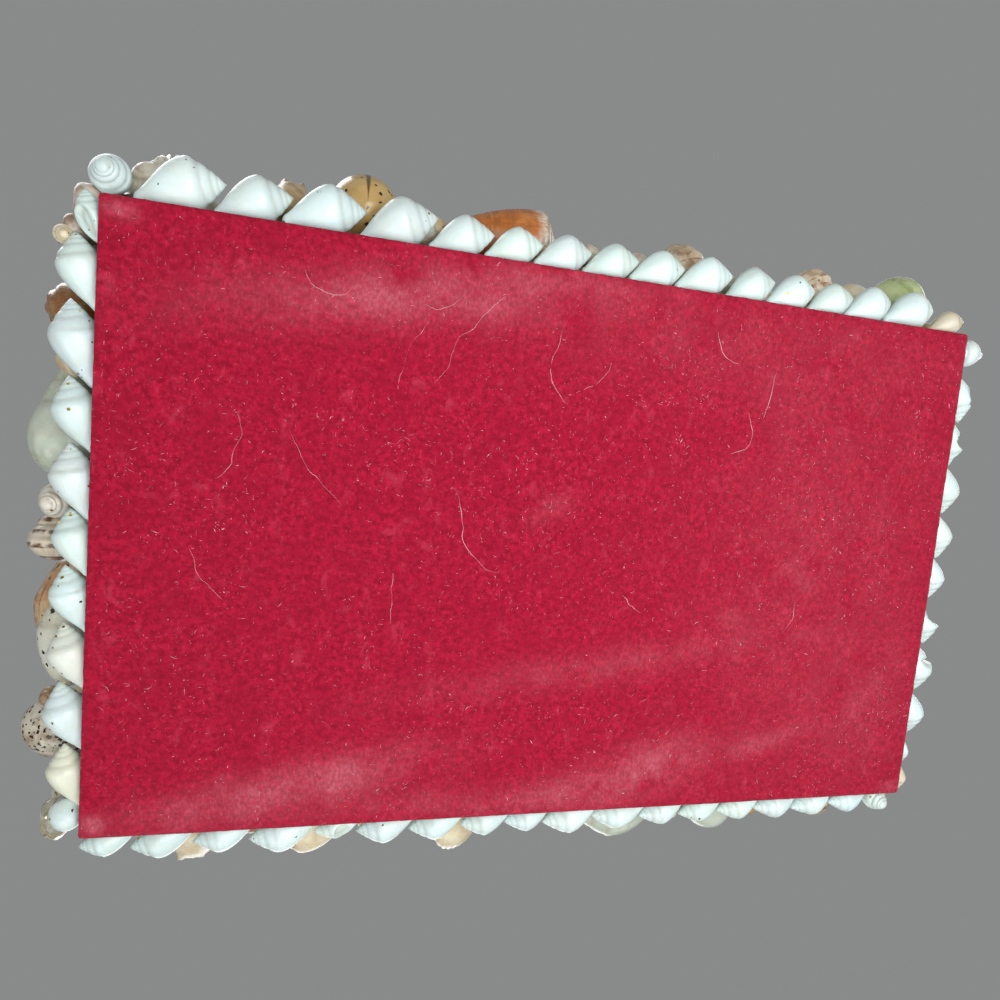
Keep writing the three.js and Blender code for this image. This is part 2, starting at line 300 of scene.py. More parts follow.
# %% [markdown]
# ## Shell markings
# A sea shell's colour is laid down at its growing edge. What the edge does again and again becomes a
# band that winds round the shell, what it does all at once becomes a streak along the axis, and the
# two together make a net. One node group holds all of these, and each shell turns up the ones it has.

# %% The inputs of the markings group
NO = (0.0, 0.0, 0.0, 1.0)
AMOUNTS = {
    "Cloud Amount": 0.5, "Bands": 3.0, "Band Amount": 0.0, "Streak Amount": 0.0, "Net Amount": 0.0,
    "End Amount": 0.0, "Crest Amount": 0.0, "Speck Size": 0.16, "Speck Amount": 0.0, "Speck Density": 0.9,
    "Relief": 1.0,
}
markings, given, out = new_group(
    "Shell markings",
    [(name, "Color", NO) for name in ("Ground", "Cloud", "Mark", "End")]
    + [(name, "Float", value) for name, value in AMOUNTS.items()],
    [("Color", "Color"), ("Dots", "Float"), ("Height", "Float")],
)
tree = markings
own, turned = attribute(tree, "own"), attribute(tree, "turned")
across, facing_out, way_up = put(tree, "SeparateXYZ", None, Vector=turned).outputs
cloud = noise(tree, own, 0.32, 3.0, 0.55)

# %% Bands, streaks, nets and the crest
winding = plus(tree, times(tree, times(tree, way_up, given["Bands"]), math.tau), times(tree, cloud, 1.6))
bands = times(tree, rise(tree, calc(tree, "SINE", winding), 0.0, 0.7), given["Band Amount"])
streak_field = noise(tree, scaled(tree, turned, 1, 1, 0.35), 3.4, 2.0, 0.5, 0.6)
streaks = times(tree, rise(tree, streak_field, 0.52, 0.62), given["Streak Amount"])
net_round = noise(tree, scaled(tree, turned, 7, 7, 1.2), 1.5, 0.0)
net_along = noise(tree, scaled(tree, turned, 0.4, 0.4, 34), 1.0, 0.0)
net = calc(tree, "MAXIMUM", rise(tree, net_round, 0.53, 0.6), rise(tree, net_along, 0.53, 0.6))
net = times(tree, net, given["Net Amount"])
patchy = rise(tree, noise(tree, own, 0.6, 2.0), 0.35, 0.62)
marked = times(tree, calc(tree, "MAXIMUM", calc(tree, "MAXIMUM", bands, streaks), net), patchy)
off_crest = plus(tree, calc(tree, "ABSOLUTE", across), times(tree, cloud, 0.12))
crest = times(tree, calc(tree, "SUBTRACT", 1.0, rise(tree, off_crest, 0.1, 0.2)),
              calc(tree, "GREATER_THAN", facing_out, 0.0))
marked = calc(tree, "MAXIMUM", marked, times(tree, crest, given["Crest Amount"]))

# %% Specks
cells = put(tree, "TexVoronoi", None, Vector=strayed(tree, own, 1.6, 2.0, (0.9, 0.9, 0.9)),
            Scale=given["Speck Density"])
chance = put(tree, "SeparateXYZ", None, Vector=cells.outputs["Color"]).outputs
speck_reach = times(tree, given["Speck Size"], plus(tree, chance[1], 0.35))
dot = times(tree, calc(tree, "LESS_THAN", cells.outputs["Distance"], speck_reach),
            calc(tree, "LESS_THAN", chance[0], given["Speck Amount"]))

# %% Ground, pale ends and relief
cloudy = times(tree, rise(tree, cloud, 0.4, 0.65), given["Cloud Amount"])
ground = blend(tree, cloudy, given["Ground"], given["Cloud"])
from_middle = calc(tree, "ABSOLUTE", calc(tree, "SUBTRACT", calc(tree, "FRACT", way_up), 0.46))
at_end = rise(tree, plus(tree, from_middle, times(tree, cloud, 0.25)), 0.34, 0.46)
ground = blend(tree, times(tree, at_end, given["End Amount"]), ground, given["End"])
growth_lines = noise(tree, scaled(tree, turned, 12, 12, 0.8), 2.2, 3.0, 0.6)
fine_cords = noise(tree, scaled(tree, turned, 0.5, 0.5, 60), 1.0, 1.0)
height = times(tree, plus(tree, growth_lines, times(tree, fine_cords, 0.5)), given["Relief"])
wire(tree, out["Color"], blend(tree, marked, ground, given["Mark"]))
wire(tree, out["Dots"], dot)
wire(tree, out["Height"], calc(tree, "SUBTRACT", height, dot))
print("the markings group has", len(markings.nodes), "nodes")

# %% [markdown]
# Dust and old glue settle on a shell as a thin uneven film, which also dulls its gloss. The second group
# lays that film over the shell, and darkens its grooves and breaks with the same brown as painted shade.

# %% The dust film and painted groove shade group
dirt_shade_group, given, out = new_group(
    "Dust film and painted groove shade",
    [("Color", "Color", NO), ("Dirt", "Color", NO), ("Amount", "Float", 0.5), ("Roughness", "Float", 0.3)],
    [("Color", "Color"), ("Roughness", "Float")],
)
own = attribute(dirt_shade_group, "own")
film = rise(dirt_shade_group, noise(dirt_shade_group, own, 0.7, 4.0, 0.6), 0.5, 0.8)
# `hollow` is 1 deep in a groove or a break: the brown laid there is painted shade, not dust
deep = attribute(dirt_shade_group, "hollow", "Fac")
dirt_and_shade_share = times(dirt_shade_group, plus(dirt_shade_group, times(dirt_shade_group, film, 0.25), deep), given["Amount"])
dirt_and_shade_share = calc(dirt_shade_group, "MINIMUM", dirt_and_shade_share, 1.0)
wire(dirt_shade_group, out["Color"], blend(dirt_shade_group, dirt_and_shade_share, given["Color"], given["Dirt"]))
dull = plus(dirt_shade_group, given["Roughness"], times(dirt_shade_group, dirt_and_shade_share, 0.4))
fine = times(dirt_shade_group, noise(dirt_shade_group, own, 2.5, 2.0), 0.12)
wire(dirt_shade_group, out["Roughness"], plus(dirt_shade_group, dull, fine))
print("the dirt group has", len(dirt_shade_group.nodes), "nodes")

# %% [markdown]
# A shell is glazed, so its gloss is that of china with a thin clear coat. The speck is a pinhole bored
# by worms, dark brown and sunk a little, so it lowers the bump as well.

# %% Shell finishes
# the second colour is the brown of the dust film and of the painted shade in grooves and breaks
PINHOLE, DIRT_AND_SHADE_BROWN = (70, 52, 34), (120, 92, 62)
GLAZE, GLAZE_ROUGHNESS = 0.25, 0.12
BUMP_STRENGTH, BUMP_HEIGHT = 0.35, 0.12 * MM


def shell_finish(name, ground, cloud, mark, gloss=0.28, relief=1.0, dirt_and_shade=0.5, dot=PINHOLE, **amounts):
    """A glazed shell of one ground colour, with the markings that `amounts` turns up. With "tint" for its
    ground it takes each shell's own colour."""
    material, tree, shader = new_material(name)
    ground = attribute(tree, "tint", "Color") if ground == "tint" else colour(*ground)
    made = use_group(tree, markings, Ground=ground, Cloud=colour(*cloud), Mark=colour(*mark),
                     Relief=relief, **amounts)
    base = blend(tree, made["Dots"], made["Color"], colour(*dot))
    # its amount sets both the dust film and the painted shade in grooves and breaks
    aged = use_group(tree, dirt_shade_group, Color=base, Dirt=colour(*DIRT_AND_SHADE_BROWN), Amount=dirt_and_shade, Roughness=gloss)
    finished(tree, shader, made["Height"], BUMP_STRENGTH, BUMP_HEIGHT, Base_Color=aged["Color"],
             Roughness=aged["Roughness"], Coat_Weight=GLAZE, Coat_Roughness=GLAZE_ROUGHNESS)
    return material


# %% The finishes that the shells have
FINISHES = {
    "white": shell_finish("White shell", "tint", (216, 226, 214), (226, 220, 196), 0.26, dirt_and_shade=0.3,
        Cloud_Amount=0.35, Speck_Amount=0.04, Speck_Size=0.14),
    "pale": shell_finish("Pale grey shell", (214, 212, 196), (196, 194, 178), (176, 168, 146), dirt_and_shade=0.5,
        Cloud_Amount=0.6, Bands=2.0, Band_Amount=0.2, Speck_Amount=0.05),
    "cream": shell_finish("Cream shell", (226, 216, 188), (206, 182, 138), (182, 140, 88), dirt_and_shade=0.6,
        Cloud_Amount=0.6, Bands=2.0, Band_Amount=0.3, Speck_Amount=0.08),
    "tan": shell_finish("Tan shell", (206, 182, 142), (180, 146, 100), (128, 90, 54), Cloud_Amount=0.7,
        Bands=3.0, Band_Amount=0.4, Streak_Amount=0.3, Speck_Amount=0.12),
    "cowrie": shell_finish("Dotted cowrie", (204, 172, 112), (178, 144, 86), (66, 40, 20), 0.16,
        relief=0.3, dot=(58, 36, 18), Cloud_Amount=0.6, Crest_Amount=0.85, Speck_Size=0.3,
        Speck_Amount=0.34),
    "orange": shell_finish("Orange shell", (190, 128, 72), (222, 196, 158), (132, 74, 34),
        Cloud_Amount=0.85, Bands=2.0, Band_Amount=0.6, Net_Amount=0.5, Speck_Amount=0.06),
    "orange_middle": shell_finish("Orange shell with pale ends", (186, 106, 44), (204, 140, 80),
        (140, 84, 42), 0.2, Cloud_Amount=0.6, Bands=2.0, Band_Amount=0.3, Net_Amount=0.6,
        Speck_Amount=0.12, End=colour(220, 212, 194), End_Amount=0.95),
    "amber": shell_finish("Amber shell", (150, 94, 36), (186, 148, 92), (92, 52, 22), 0.2,
        Cloud_Amount=0.5, Bands=3.0, Band_Amount=0.4, Speck_Amount=0.3, End=colour(216, 206, 184),
        End_Amount=0.5),
    "brown": shell_finish("Brown shell", (186, 160, 128), (228, 216, 192), (112, 74, 46),
        Cloud_Amount=0.6, Bands=4.0, Band_Amount=0.5, Streak_Amount=0.9, Speck_Amount=0.08),
    "striped": shell_finish("Striped shell", (222, 208, 182), (196, 164, 122), (142, 96, 56),
        Cloud_Amount=0.5, Streak_Amount=1.0, Bands=3.0, Band_Amount=0.4, Speck_Amount=0.08),
    "ringed": shell_finish("Ringed shell", (222, 212, 194), (206, 184, 152), (96, 66, 46),
        Cloud_Amount=0.4, Bands=5.0, Band_Amount=1.0, Streak_Amount=0.2, Speck_Amount=0.1),
    "flamed": shell_finish("Flamed shell", (210, 182, 142), (176, 96, 42), (96, 46, 20), 0.2,
        Cloud_Amount=0.6, Streak_Amount=1.0, Band_Amount=0.0, Speck_Amount=0.1),
    "green": shell_finish("Green nerite", (172, 188, 132), (198, 204, 160), (112, 126, 70), 0.16,
        relief=0.5, Cloud_Amount=0.6, Bands=2.5, Band_Amount=0.5, Speck_Amount=0.12),
    "olive": shell_finish("Green olive", (190, 200, 184), (208, 212, 196), (150, 156, 124), 0.16,
        relief=0.4, Cloud_Amount=0.6, Bands=1.5, Band_Amount=0.4, Speck_Amount=0.1, Speck_Size=0.2),
    "dotted": shell_finish("Dotted white shell", (216, 218, 200), (224, 222, 206), (190, 170, 128), 0.2,
        dot=(52, 40, 26), Cloud_Amount=0.6, Bands=1.5, Band_Amount=0.25, Speck_Amount=0.6,
        Speck_Size=0.26),
    "speckled": shell_finish("Speckled shell", (214, 208, 190), (156, 128, 92), (96, 62, 34), 0.2,
        dot=(44, 28, 18), Cloud_Amount=0.85, Bands=2.0, Band_Amount=0.4, Speck_Amount=0.8,
        Speck_Size=0.42, Speck_Density=1.35),
    "mixed": shell_finish("Small mixed shells", "tint", (222, 208, 178), (150, 106, 66), Cloud_Amount=0.4,
        Bands=2.5, Band_Amount=0.3, Streak_Amount=0.35, Speck_Amount=0.1),
}
print("made", len(FINISHES), "shell finishes")

# %% [markdown]
# ## The coiled shell
# A sea snail adds to its shell at the mouth, turn after turn, and each turn is larger than the last by
# the same share. So the joins between turns, the sutures, lie on a logarithmic spiral. The surface here
# is a profile turned about an axis, from the tip at 0 to the top of the spire at 1, and the relief
# follows the spiral on top of it. That keeps the grid simple and closed at both poles.
#
# * Body: the radius is a power of a sine of the way to the shoulder, blunted at the tip.
# * Spire: the radius is a power of what is left, eased in, so the shoulder is round.
# * Turn number: log(height left at the shoulder / height left) / log(growth). Adding the share of a
#   turn round the axis gives a number whose whole values are the sutures.

# %% Forms of the coiled shells
FORMS = {
    # shoulder, swell, narrowing, blunt tip, growth per turn, turns, groove, hump, ease
    "dove": (0.6, 1.05, 0.92, 0.26, 1.7, 3.6, 0.08, 0.5, 0.3),
    "olive": (0.55, 0.5, 0.55, 0.0, 1.9, 2.6, 0.05, 0.4, 0.12),
    "long_olive": (0.3, 0.4, 0.95, 0.0, 1.7, 2.6, 0.03, 0.4, 0.5),
    "cone": (0.8, 0.95, 1.1, 0.12, 1.5, 4.0, 0.10, 0.5, 0.12),
    "whelk": (0.58, 1.5, 1.15, 0.18, 1.6, 4.4, 0.2, 0.7, 0.12),
    "turban": (0.4, 0.5, 0.85, 0.0, 1.75, 3.8, 0.2, 0.6, 0.12),
    "nerite": (0.5, 0.45, 0.5, 0.0, 2.3, 2.0, 0.12, 0.5, 0.12),
    "moon": (0.55, 0.5, 0.6, 0.0, 1.75, 3.4, 0.13, 0.45, 0.2),
    "top": (0.3, 0.5, 0.9, 0.0, 1.5, 4.6, 0.18, 0.6, 0.12),
    "cowrie": (0.5, 0.5, 0.5, 0.0, 3.0, 0.6, 0.0, 0.5, 0.12),
    "auger": (0.3, 0.6, 0.95, 0.0, 1.32, 8.0, 0.14, 0.6, 0.12),
}


# %% Faces of a closed tube
def ring_faces(rings, sides):
    """Faces of a closed tube of rings with a point at each end, as [(corner points, corner places)].
    Point 0 is the tip, the rings follow, and the last point is the top."""
    ring, side = np.meshgrid(np.arange(rings - 1), np.arange(sides), indexing="ij")
    following = (side + 1) % sides
    quads = np.stack([
        1 + ring * sides + side, 1 + (ring + 1) * sides + side,
        1 + (ring + 1) * sides + following, 1 + ring * sides + following,
    ], -1).reshape(-1, 4)
    places = np.stack([
        np.stack([side, ring], -1), np.stack([side, ring + 1], -1),
        np.stack([side + 1, ring + 1], -1), np.stack([side + 1, ring], -1),
    ], -2).reshape(-1, 4, 2)
    k = np.arange(sides)
    last = 1 + rings * sides
    tip = np.stack([np.zeros(sides, int), 1 + k, 1 + (k + 1) % sides], -1)
    top = np.stack([np.full(sides, last), last - sides + (k + 1) % sides, last - sides + k], -1)
    tip_places, top_places = (
        np.stack([np.stack([k + shift, end], -1) for shift in shifts], -2)
        for shifts, end in (((0.5, 0, 1), 0 * k), ((0.5, 1, 0), 0 * k + rings - 1))
    )
    return [(quads, places), (tip, tip_places), (top, top_places)]


# %% The coiled surface
def coiled_shell(kind, size, sides=32, body_rings=16, per_turn=8, ribs=0, rib=0.0, cords=0, cord=0.0,
                 knobs=0, knob=0.0, roll=0.0, bites=(), tint=(1, 1, 1), lopsided=0.05, tuck=0.0):
    """A shell of that (length, width, depth) about its own +Y, its tip at -Y and its face towards +Z.
    Radius = profile x (1 - groove x (1 - |sin| of the turn number)^hump) x ribs x cords x knobs,
    less the bites: (way, half width, angle, half angle, depth), each an oval pressed in.
    The tip bends back by `tuck` x (1 - way to the shoulder)^1.6."""
    shoulder, swell, narrowing, blunt, growth, turns, groove, hump, ease = FORMS[kind]
    spire = 1 - shoulder
    body = shoulder * (1 - np.cos(np.linspace(0.06, np.pi / 2, body_rings))) ** 0.8
    number_up = np.linspace(0, turns, int(per_turn * turns) + 1)[1:]
    way = np.concatenate([body, 1 - spire * growth ** -number_up])[:, None]
    part = np.clip(way / shoulder, 0, 1)
    low = np.sqrt(np.sin(np.pi / 2 * part) ** (2 * swell) + (blunt * (1 - part)) ** 2)
    low *= np.sqrt(1 - (1 - np.minimum(part / 0.07, 1)) ** 2)
    rest = np.clip((way - shoulder) / spire, 0, 1)
    rest = rest * rest * (1 + ease) / (rest + ease)
    radius = np.where(way <= shoulder, low, (1 - rest) ** narrowing)
    angle = np.linspace(0, math.tau, sides, endpoint=False)[None, :]
    rolled = angle + roll
    share = (rolled / math.tau) % 1.0
    number = np.log(spire / np.maximum(1 - way, 1e-4)) / math.log(growth)
    on_spire = smooth_step(0.0, 0.3, number)
    seam = 1 - np.abs(np.sin(np.pi * (number + share))) ** hump
    hollow = on_spire * seam
    radius = radius * (1 - groove * hollow)
    radius = radius * (1 + lopsided * (share - 0.5) * (1 - on_spire) * np.minimum(part * 2, 1))
    fade = smooth_step(0.02, 0.2, way) * smooth_step(0.0, 0.1, 1 - way)
    radius = radius * (1 + rib * fade * np.abs(np.cos(ribs / 2 * (rolled + 0.6 * way))))
    radius = radius * (1 + cord * fade * np.cos(math.tau * cords * way))
    at_shoulder = np.exp(-(((way - shoulder) / 0.05) ** 2))
    radius = radius * (1 + knob * at_shoulder * np.maximum(np.cos(knobs * rolled), 0))
    for middle, half, facing, spread, deep in bites:
        around = np.abs((angle - facing + np.pi) % math.tau - np.pi) / spread
        pressed = 1 - smooth_step(0.75, 1.05, np.hypot((way - middle) / half, around))
        radius = radius * (1 - deep * pressed)
        hollow = np.maximum(hollow * np.ones_like(pressed), 0.8 * pressed)
    length, width, depth = size
    rings = len(way)
    across = np.cos(angle) * radius * width / 2
    outward = np.sin(angle) * radius * depth / 2 - tuck * (1 - part) ** 1.6
    along = (way - 0.5) * length * np.ones_like(across)
    body_points = np.stack([across, along, outward], -1).reshape(-1, 3)
    poles = np.array([[0, -length / 2, -tuck], [0, length / 2, 0]])
    points = np.concatenate([poles[:1], body_points, poles[1:]])
    round_it = np.stack(np.broadcast_arrays(np.cos(angle), np.sin(angle), way), -1).reshape(-1, 3)
    round_it = np.concatenate([[[0, 0, 0]], round_it, [[0, 0, 1]]])
    deep_in = np.concatenate([[0], (hollow * np.ones_like(across)).ravel(), [0]])
    step = dice.uniform(-90, 90, 3)
    return {
        "points": points,
        "own": points + step,
        # the way stays under 1, so that its fraction still tells it after the random whole number
        "turned": round_it * [1, 1, 0.999] + dice.integers(0, 9) * UP,
        "tint": np.tile([*tint, 1.0], (len(points), 1)),
        "hollow": deep_in,
        "faces": [(faces, places / [sides, rings - 1]) for faces, places in ring_faces(rings, sides)],
    }


print("a rope shell has", sum(len(f) for f, _ in coiled_shell("dove", (11, 6, 6))["faces"]), "faces")

# %% [markdown]
# ## The cockle
# A cockle is one half of a bivalve. It grows from a beak at the hinge, and its ribs run from the beak
# to the rim like the sticks of a fan. Each point lies on a straight line from the beak to a point of an
# oval rim, and is lifted onto a dome. Pressing the dome up by the size of a wave of the angle at the
# beak raises the ribs, and a second wave of the distance adds the growth steps.

# %% The ribbed cockle
def cockle_shell(size, ribs=22, sides=88, rings=22, tint=(1, 1, 1)):
    """A fan-shaped dome of that (length, width, depth), with its rim up its own +Y and its back to -Z."""
    length, width, depth = size
    out_from_beak = np.linspace(0.04, 1, rings)[:, None]
    angle = np.linspace(0, math.tau, sides, endpoint=False)[None, :]
    rim_x, rim_y = np.sin(angle) * (1 + 0.16 * np.cos(angle)), np.cos(angle)
    beak = -0.86
    x = out_from_beak * rim_x
    y = beak + out_from_beak * (rim_y - beak)
    flat = np.sqrt(np.clip(1 - (x / 1.02) ** 2 - ((y + 0.12) / 1.13) ** 2, 0, 1))
    bearing = np.arctan2(x, y - beak + 0.02)
    ridge = np.abs(np.cos(ribs * bearing / 2)) ** 0.8
    steps = 0.5 + 0.5 * np.sin(out_from_beak * 34 + 3 * out_from_beak**2)
    amount = smooth_step(0.05, 0.4, out_from_beak) * (np.abs(bearing) < 1.5)
    z = flat * (0.86 + 0.1 * amount * ridge) + 0.02 * amount * steps + 0.05 * (1 - out_from_beak)
    z = np.where(out_from_beak >= 0.999, 0.02 + 0.05 * ridge * amount, z)
    scalloped = 1 + 0.02 * (ridge - 0.5) * amount
    dome = np.stack([x * scalloped * width / 2, (y * scalloped) * length / 2, (z - 0.5) * depth], -1)
    base = dome[-1:] * [0.96, 0.96, 1.0] - [0, 0, 0.02 * depth]
    rim = np.stack([base[..., 0], base[..., 1], np.full_like(base[..., 0], -depth / 2)], -1)
    grid = np.concatenate([rim, dome[::-1]])
    poles = np.array([[0, 0, -depth / 2], [0, beak * length / 2, 0.3 * depth]])
    points = np.concatenate([poles[:1], grid[:, ::-1].reshape(-1, 3), poles[1:]])
    way = np.concatenate([[[1.0]], out_from_beak[::-1]]) * np.ones((1, sides))
    facing = np.concatenate([bearing[-1:], bearing[::-1]])[:, ::-1]
    round_it = np.stack([np.cos(facing), np.sin(facing), way], -1).reshape(-1, 3)
    groove = np.concatenate([0 * ridge[-1:], (1 - ridge[::-1]) * amount[::-1]])[:, ::-1]
    return {
        "points": points,
        "own": points + dice.uniform(-90, 90, 3),
        "turned": np.concatenate([[[0, 0, 1]], round_it, [[0, 0, 0]]]),
        "tint": np.tile([*tint, 1.0], (len(points), 1)),
        "hollow": np.concatenate([[0], 0.6 * groove.ravel(), [0]]),
        "faces": [(faces, places / [sides, rings]) for faces, places in ring_faces(rings + 1, sides)],
    }


print("a cockle's grid is", len(ring_faces(23, 88)[0][0]), "quads")

# %% [markdown]
# ## Setting a shell in place
# A shell is set by three things: where its middle is, which way its axis points, and which way its face
# looks. Each wall has a frame of its own, seen from outside: X along the wall in the order in which the
# shells were laid, Y out from the wall, and Z up. A quarter turn takes that frame to its wall.

# %% Frames and placing
SIDES = {
    "back": (0, 2 * HALF_LENGTH, HALF_WIDTH),
    "left": (1, 2 * HALF_WIDTH, HALF_LENGTH),
    "front": (2, 2 * HALF_LENGTH, HALF_WIDTH),
    "right": (3, 2 * HALF_WIDTH, HALF_LENGTH),
}


def side_frame(side):
    """The turn and the place of a wall's frame."""
    turns, _, reach = SIDES[side]
    c, s = round(math.cos(turns * math.pi / 2)), round(math.sin(turns * math.pi / 2))
    return np.array([[c, -s, 0], [s, c, 0], [0, 0, 1.0]]), np.array([-reach * s, reach * c, 0.0])


def unit(vector):
    return np.asarray(vector, float) / np.linalg.norm(vector)


def placed(patch, middle, axis, face):
    """The patch with its +Y along the axis, its +Z as near the face as that allows, and its middle there."""
    y = unit(axis)
    x = unit(np.cross(y, face))
    basis = np.stack([x, y, np.cross(x, y)])
    return {**patch, "points": patch["points"] @ basis + middle}


def on_side(patch, side):
    """The patch taken from a wall's own frame to its place on the box."""
    turn, place = side_frame(side)
    return {**patch, "points": patch["points"] @ turn.T + place}


def jitter(ground, spread=0.03):
    """A screen colour as linear light, a little lighter, darker, warmer or cooler by chance."""
    base = np.array(colour(*ground)[:3])
    return base * (1 + dice.normal(0, spread)) * (1 + dice.normal(0, spread / 2, 3))


print("the walls are", {side: round(run, 1) for side, (_, run, _) in SIDES.items()}, "mm long")

# %% [markdown]
# ## The rope of white shells
# The small white shells lie head to tail. The tip of each tucks in by the wall beside the spire of the
# next, and the spire leans out, so the edge looks like a twisted cord. The steps are those of the packed
# model, and the shells lap a little more than its solids do. Each is rolled and tilted a little by
# chance. The end of each side is filled by one that stands upright or points straight out from the wall.
# On the right-hand side some are broken.

# %% Spacing and oddities along the rope
FOOT_STEPS = {
    "left": [5.9, 9.9, 11.5, 10.2, 10.1, 8.9, 9.3, 9.6, 10.3, 8.6],
    "front": [6.8, 10.7, 10, 8.6, 9.3, 9.3, 10.1, 9.5, 9.1, 9.2, 8.8, 9.6, 12, 11.4, 10.5, 10.7],
    "right": [6, 7, 9.7, 10.8, 10.5, 8.7, 10, 10.1, 9.6, 9.6],
    "back": [7.5, 9.7, 9, 10.8, 7.5, 9.5, 9.6, 8.5, 7.9, 10.4, 10, 8.9, 8.9, 8.9, 9.3, 9.3, 8.3],
}
LID_STEP = 11  # about how far it is from one shell to the next on the lid
LAP, SHELL_GAP = 2.2, 0.1  # how far a shell passes its step, and how far it lies from the wall
WIDTH_SHARE, LEAN = 0.55, math.radians(11)
STOUT = {"front": 1.1, "back": 0.9}  # how much further a side's shells stand out than the others
TUCK = 0.15  # how far the tip bends in to the wall, as a share of the length
# side: kind, way its top points, (length, width), how far its middle is before the corner and out
CLOSING = {
    "left": ("nerite", (-0.2, 0.3, 0.93), (7, 5.2), (2.4, 3.0)),
    "front": ("moon", (0.1, 0.15, -1.0), (7, 5.9), (0.2, 3.9)),
    "right": ("dove", (0, -1, 0), (7.4, 5.6), (2.9, 3.9)),
    "back": ("moon", (0.1, 0.2, -1.0), (7, 5.2), (2.3, 3.0)),
}
WHITE, BEIGE, YELLOWED = (219, 238, 236), (214, 202, 176), (228, 230, 208)
# side, place along the rope: what is unusual about that shell
ODD_SHELLS = {
    ("left", 0): {"width": 0.5, "kind": "moon", "bites": [(0.4, 0.3, 0.5, 0.8, 0.45)]},
    ("left", 7): {"ground": (228, 234, 220)},
    ("left", 9): {"ground": YELLOWED},
    ("front", 0): {"ground": BEIGE, "width": 0.5},
    ("front", 15): {"width": 0.57, "longer": 0.8},
    ("back", 4): {"width": 0.46, "bites": [(0.5, 0.16, 0.3, 0.9, 0.35)]},
    ("right", 0): {"ground": BEIGE, "width": 0.42},
    ("right", 1): {"width": 0.34},
    ("right", 3): {"bites": [(0.42, 0.07, 1.2, 1.3, 0.75), (0.2, 0.06, 1.2, 0.8, 0.3)]},
    ("right", 4): {"bites": [(0.33, 0.33, 1.2, 1.7, 0.62)]},
    ("right", 8): {"width": 0.5, "bites": [(0.52, 0.15, 1.2, 1.3, 0.6), (0.85, 0.14, 1.2, 1.2, 0.4)]},
    ("right", 9): {"bites": [(0.56, 0.16, 0.75, 0.55, 0.42)]},
}


def rope_of_shells(side, steps, foot, closing, **detail):
    """One side's run: axis (-cos lean, sin lean, 0), middle half a step on, belly against the wall."""
    run = SIDES[side][1]
    shells, start = [], -run / 2
    for i, step in enumerate(steps):
        odd = ODD_SHELLS.get((side, i), {}) if closing else {}
        length = step + LAP + odd.get("longer", 0)
        width = length * WIDTH_SHARE * dice.uniform(0.96, 1.04)
        depth = length * odd.get("width", WIDTH_SHARE) * (STOUT.get(side, 1) if closing else 1)
        tint = jitter(odd.get("ground", WHITE))
        lean = LEAN + dice.normal(0, math.radians(2.5))
        axis = np.array([-math.cos(lean), math.sin(lean), dice.normal(0, 0.04)])
        out = SHELL_GAP + depth / 2 - 0.12 * length * math.sin(lean)
        shell = coiled_shell(odd.get("kind", "dove"), (length, width, depth), roll=dice.uniform(0, math.tau),
                             tint=tint, bites=odd.get("bites", ()), tuck=TUCK * length, **detail)
        shells.append(placed(shell, [start + step / 2, out, foot + width / 2], axis, OUT))
        start += step
    if closing:
        kind, axis, (length, width), (before, out) = closing
        shell = coiled_shell(kind, (length, width, width), roll=dice.uniform(0, math.tau),
                             tint=jitter(WHITE), **detail)
        stands = abs(axis[2]) > 0.9
        middle = [run / 2 - before, out, foot + (length if stands else width) / 2]
        shells.append(placed(shell, middle, axis, OUT if stands else UP))
    return on_side(joined(shells), side)


# %% Make the ropes
LID_ROPE_DETAIL = {"sides": 24, "body_rings": 12, "per_turn": 5}
for side, (_, run, _) in SIDES.items():
    foot_node, lid_node = f"{side}_foot_rope", f"{side}_lid_rope"
    rope = rope_of_shells(side, FOOT_STEPS[side], node_box(foot_node)[0][2], CLOSING[side])
    make_piece(f"{side}_foot_shells", rope, FINISHES["white"], [foot_node])
    count = round(run / LID_STEP)
    rope = rope_of_shells(side, [run / count] * count, node_box(lid_node)[0][2], None, **LID_ROPE_DETAIL)
    make_piece(f"{side}_lid_shells", rope, FINISHES["white"], [lid_node])
    print(side, "has", len(FOOT_STEPS[side]) + 1, "white shells at the foot and", count, "on the lid")

# %% [markdown]
# ## The larger shells
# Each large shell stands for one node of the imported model, and its box says where it goes: the shell is
# turned as the node is, and its box is moved onto the node's. The kinds differ in their profile and in
# what stands up from it: ribs along the axis, cords round it, or knobs on the shoulder.

# %% What the larger shells are
LARGE = {"sides": 44, "body_rings": 22, "per_turn": 9}
RELIEFS = {
    "auger": {"ribs": 18, "rib": 0.05},
    "whelk": {"ribs": 12, "rib": 0.10, "cords": 16, "cord": 0.012},
    "turban": {"cords": 15, "cord": 0.02},
    "cone": {"cords": 22, "cord": 0.008},
    "knobbed": {"knobs": 8, "knob": 0.16, "cords": 12, "cord": 0.015},
}
